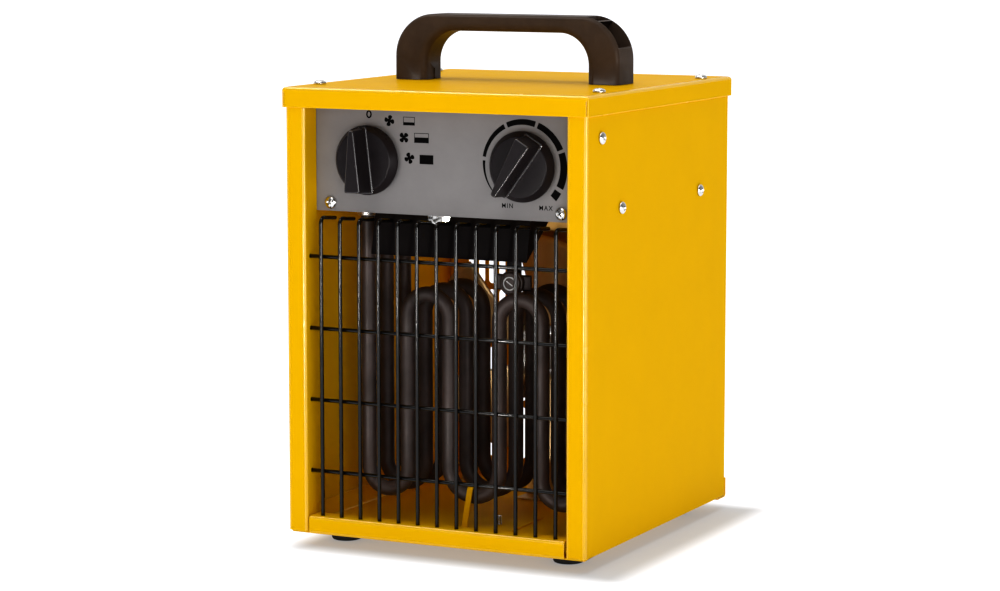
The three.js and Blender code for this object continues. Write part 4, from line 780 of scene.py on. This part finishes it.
def element_path(y):
    """The middle line of an element: down from the shelf, three bends below and two above, and up again."""
    low, high, end = FLOOR_TOP + 20.5, FLOOR_TOP + 147.3, SHELF_TOP + 8.3
    outer, middle, inner = ELEMENT_X, 47.0, 17.5
    bends = [14.0, 14.0, 14.75, 14.75, 17.5]
    half = [(outer, end), (outer, low), (middle, low), (middle, high), (inner, high), (inner, low)]
    corners = half + [(-x, z) for x, z in reversed(half)]
    return bent(corners, bends + bends[::-1], 12, lambda x, z: (x, y, z))


def elements():
    """Three bent tubes one behind the other, each with a bush, a nut and a pin at both ends."""
    radius = 4.75
    bush = lathe([(4.9, 0), (6.3, 0), (6.8, 0.5), (6.8, 5.2), (6.5, 5.7), (6.0, 6.0), (5.2, 6.0), (5.2, 8.0),
                  (4.9, 8.0), (4.9, 0)], 28)
    nut = prism("z", arc(0, 0, 7.4, 0, 360, 6)[:-1], 0, 4)
    pin = lathe([(0, 0), (1.8, 0), (1.8, 16.4), (1.4, 17), (0, 17)], 16)
    bush_z, nut_z, pin_z = SHELF_BOTTOM - 6.3, SHELF_TOP + 0.3, SHELF_TOP + 3.3
    for name, y in (("front", -56.0), ("middle", -32.0), ("rear", -8.0)):
        whole = "heating_element_" + name
        made = shown(whole + "_form", mesh_of(tube(element_path(y), radius, 20)), SHEATH, nodes=[whole])
        made.data.set_sharp_from_angle(angle=math.radians(WIRE_CREASE))
        fittings = [shifted(form, x, y, z) for x in (-ELEMENT_X, ELEMENT_X)
                    for form, z in ((bush, bush_z), (nut, nut_z), (pin, pin_z))]
        ends = shown("element_fittings_" + name, mesh_of(together(*fittings)), STEEL)
        soften(ends, 0.25, angle=TURNED)


# ---------------------------------------------------------------- fan and motor

def fan():
    """Cupped petals on a riveted hub, and the motor with its bridges and strap."""
    first, sheet, rivet_circle = 9, 1.2, 15
    petals = [petal(math.radians(first + 360 / BLADES * i)) for i in range(BLADES)]
    made = shown("fan_petals", mesh_of(together(*petals)), ALUMINIUM_PAINTED_REFLECTION, "fan", nodes=["fan_impeller"])
    plate = made.modifiers.new("sheet", "SOLIDIFY")
    plate.thickness, plate.offset = sheet * MM, 0.0
    hub = lathe([(0, -4.2), (5.2, -4.2), (6.4, -3.6), (7, -2.8), (7, -1.6), (12, -1.5), (14, -2.4), (16, -2.4),
                 (18, -1.5), (19, -1.2), (19, 1.4), (8, 1.5), (7, 2.2), (7, 11.6), (6.4, 12), (2.8, 12), (0, 12)], 48)
    rivet = lathe([(0, -3.0), (1.6, -2.6), (2.2, -1.5), (2.2, 0), (0, 0)], 16)
    turns = [i * 2 * math.pi / BLADES for i in range(BLADES)]
    rivets = [shifted(rivet, rivet_circle * math.cos(a), rivet_circle * math.sin(a), 0) for a in turns]
    place = Matrix.Translation((0, FAN_Y, FAN_Z)) @ TO_REAR
    hub_mesh = mesh_of(moved(together(hub, *rivets), place))
    soften(shown("fan_hub", hub_mesh, STEEL, "fan"), 0.2, angle=TURNED)
    refined("motor_rotor", STEEL, 0.2, body="fan")
    refined("motor_stator", LAMINATION, 0.3)
    refined("motor_coil", COIL, 0.5)
    refined("bearing_bridge_front", ALUMINIUM_PAINTED_REFLECTION, 0.4)
    refined("bearing_bridge_rear", ALUMINIUM_PAINTED_REFLECTION, 0.4)
    refined("motor_strap", CHROMATE, 0.2)


def petal(start):
    """A pitched, cupped blade about the Y axis that widens outward from its root and has round tips."""
    across, along = 20, 14
    root, pitch, cup, tip_rounding = 16.0, math.tan(math.radians(24.0)), 2.5, 0.05
    share, root_share = 0.74, 0.62
    grid, faces = [], []
    for v in range(along + 1):
        for u in range(across + 1):
            side, reach = 2 * u / across - 1, v / along
            tip = FAN_R * (1 - tip_rounding * abs(side) ** 4)
            radius = root + (tip - root) * reach
            widening = root_share + (1 - root_share) * math.sin(reach * math.pi / 2)
            turn = side * math.pi * share / BLADES * widening
            y = -min(1.0, 2 * reach) * (turn * radius * pitch + cup * (1 - side * side))
            angle = start + turn
            grid.append((radius * math.sin(angle), y + FAN_Y, radius * math.cos(angle) + FAN_Z))
    row = across + 1
    for v in range(along):
        for u in range(across):
            a = v * row + u
            faces.append((a, a + 1, a + 1 + row, a + row))
    return grid, faces


# ---------------------------------------------------------------- small parts

def screw_mesh(length):
    """A pan head with a cross recess, above the origin, on a plain shank with a few thread ridges."""
    core, thread, thread_pitch, head_r, rim, dome = 1.55, 1.8, 0.7, 4.0, 0.35, 2.15
    recess_bottom, recess_top, recess_turn = 0.7, 3.0, 20
    profile = [(0, -length), (1.5, -length), (thread, -length + 0.5)]
    z = -length + 0.8
    while z < -1.6:
        profile += [(core, z), (thread, z + thread_pitch / 2)]
        z += thread_pitch
    profile += [(thread, -0.6), (thread, 0), (head_r - 0.1, 0), (head_r, 0.15)]
    profile += [(head_r * math.cos(a) ** 0.8, rim + dome * math.sin(a))
                for a in map(math.radians, (10, 25, 40, 55, 70, 82))]
    profile.append((0, rim + dome))
    low = [(-0.35, -0.55), (0.35, -0.55), (0.35, 0.55), (-0.35, 0.55)]
    high = [(-2.3, -0.48), (2.3, -0.48), (2.3, 0.48), (-2.3, 0.48)]
    arm = loft([[(x, y, recess_bottom) for x, y in low], [(x, y, recess_top) for x, y in high]])
    arms = [moved(arm, Matrix.Rotation(math.radians(turn + recess_turn), 4, "Z")) for turn in (0, 90)]
    return cut(lathe(profile, 36), *arms)


def screw_places():
    """Each screw's name, the middle of its seat, how far it is turned about X and Y, and its length."""
    short, long = SCREW_LENGTHS
    right = math.pi / 2
    seat = 0.3
    for i, (sy, sx) in enumerate([(-1, -1), (-1, 1), (1, -1), (1, 1)]):
        yield f"cover_screw_{i + 1}", (sx * 95.8, sy * 80.0, COVER_FACE), 0, 0, short
    for side, s in SIDES:
        for i, (y, z) in enumerate([(-92.0, 261.4), (-62.0, 217.1), (62.0, 217.1)]):
            yield f"{side}_screw_{i + 1}", (s * (HALF_W + seat), y, z), 0, s * right, short
        yield f"panel_screw_{side}", (s * 79.0, PANEL_FRONT - seat, 215.6), right, 0, short
        yield f"rear_screw_upper_{side}", (s * REAR_SCREW_X, REAR + seat, REAR_SCREW_HIGH), -right, 0, short
        yield f"rear_screw_lower_{side}", (s * REAR_SCREW_X, REAR + 1.6, REAR_SCREW_LOW), -right, 0, short
        yield f"handle_screw_{side}", (s * 68.5, 0, COVER_UNDER), 2 * right, 0, long
    for end, sy in ENDS:
        for side, sx in SIDES:
            yield f"foot_screw_{end}_{side}", (sx * FOOT_X, sy * FOOT_Y, 3.9), 2 * right, 0, short
    yield "clip_screw", (CLIP_SCREW_X, CLIP_SCREW_Y, 7.4), 2 * right, 0, short


def screws():
    """All screws, each with its recess at a turn of its own."""
    forms = {length: screw_mesh(length) for length in SCREW_LENGTHS}
    random.seed(7)
    for name, place, about_x, about_y, length in screw_places():
        mesh = forms[length].copy()
        made = shown(name + "_form", mesh, ZINC, nodes=[name])
        spin = Matrix.Rotation(random.uniform(0, math.pi / 2), 4, "Z")
        turn = Matrix.Rotation(about_y, 4, "Y") @ Matrix.Rotation(about_x, 4, "X")
        mesh.transform(Matrix.Translation(Vector(place) * MM) @ turn @ spin)
        creased(made, 40)


def feet():
    """Round rubber feet with a recess for the screw head."""
    profile = [(2.2, 4.2), (4.6, 4.2), (4.6, 0.4), (5.0, 0.0), (8.2, 0.0), (9.0, 0.3), (9.5, 1.2), (9.8, 4.0),
               (10.0, 6.9), (9.6, 7.4), (2.2, 7.4), (2.2, 4.2)]
    for end, sy in ENDS:
        for side, sx in SIDES:
            name = f"foot_{end}_{side}"
            mesh = mesh_of(shifted(lathe(profile, 48), sx * FOOT_X, sy * FOOT_Y, 0))
            soften(shown(name + "_form", mesh, RUBBER, nodes=[name]), 0.25, angle=TURNED)


def gland():
    """A snap-in cable gland: a barbed neck inside, a flange on the panel and a ribbed, tapering sleeve outside."""
    inside, neck, bore = -1.6, 8.0, 4.6
    ribs, rib_pitch, rib_r, taper = 4, 1.4, 9.3, 0.95
    profile = [(bore, inside - 8), (neck - 1.2, inside - 8), (neck + 0.9, inside - 1.4), (neck + 0.9, inside),
               (neck, inside), (neck, 0), (10.2, 0), (10.5, 0.3), (10.5, 2.6), (10.1, 3.3)]
    for i in range(ribs):
        z, r = 3.9 + i * rib_pitch, rib_r - i * taper
        profile += [(r, z), (r - 0.15, z + 0.6), (r - 0.7, z + 0.8)]
    profile += [(5.9, 9.4), (5.5, 9.7), (bore, 9.7), (bore, inside - 8)]
    place = Matrix.Translation((GLAND_X, GLAND_Y, GLAND_Z)) @ TO_REAR
    mesh = mesh_of(moved(lathe(profile, 48), place))
    soften(shown("cable_gland_form", mesh, RUBBER, nodes=["cable_gland"]), 0.15, angle=TURNED)


def inner_parts():
    """What stands behind the control panel, and the thermostat's bulb and the cut-out in the heating chamber."""
    refined("selector_shaft", ZINC, 0.2, body="selector")
    refined("thermostat_shaft", ZINC, 0.2, body="thermostat_control")
    refined("selector_switch", CERAMIC, 0.5)
    refined("terminal_block", CERAMIC, 0.4)
    refined("thermostat", STEEL, 0.5)
    refined("thermostat_bulb", COPPER, 0.15)
    refined("bulb_clip", ZINC, 0.15)
    cutout()


def cutout():
    """A dark cap crimped over a cup, with a thin bright ring and a stamped bar on its face, and two tabs behind."""
    place = Matrix.Translation((21.5, -50.25, 164.8)) @ TO_REAR
    cap = lathe([(0, 0.45), (3.4, 0.45), (6.0, 0.5), (6.6, 0.8), (7.0, 1.6), (7.0, 2.4), (7.7, 2.5), (8.0, 2.8),
                 (8.0, 5.8), (7.6, 6.2), (0, 6.2)], 48)
    ears = prism("z", [(-12, -4), (-10, -4), (10, -4), (12, -4), (12, 4), (10, 4), (-10, 4), (-12, 4)], 5.5, 6.5)
    body = mesh_of(moved(together(cap, ears), place))
    soften(shown("thermal_cutout_form", body, SHEATH, nodes=["thermal_cutout"]), 0.2, angle=TURNED)
    ring = lathe([(3.6, 0.5), (3.6, 0.15), (3.8, 0.0), (4.2, 0.0), (4.4, 0.15), (4.4, 0.5), (3.6, 0.5)], 48)
    bar = prism("z", [(-2.6, -0.3), (2.6, -0.3), (2.6, 0.3), (-2.6, 0.3)], 0.2, 0.5)
    stamped = together(ring, moved(bar, Matrix.Rotation(0.6, 4, "Z")))
    soften(shown("cutout_ring", mesh_of(moved(stamped, place)), STEEL), 0.08, angle=TURNED)


# ---------------------------------------------------------------- assembly

set_up_camera()
set_up_floor()
set_up_light()
casing()
marks()
knob("selector_knob", SELECTOR_X, 1.0, "selector")
knob("thermostat_knob", THERMOSTAT_X, 149.0, "thermostat_control")
handle()
grille()
elements()
fan()
screws()
feet()
gland()
inner_parts()

bpy.context.view_layer.update()
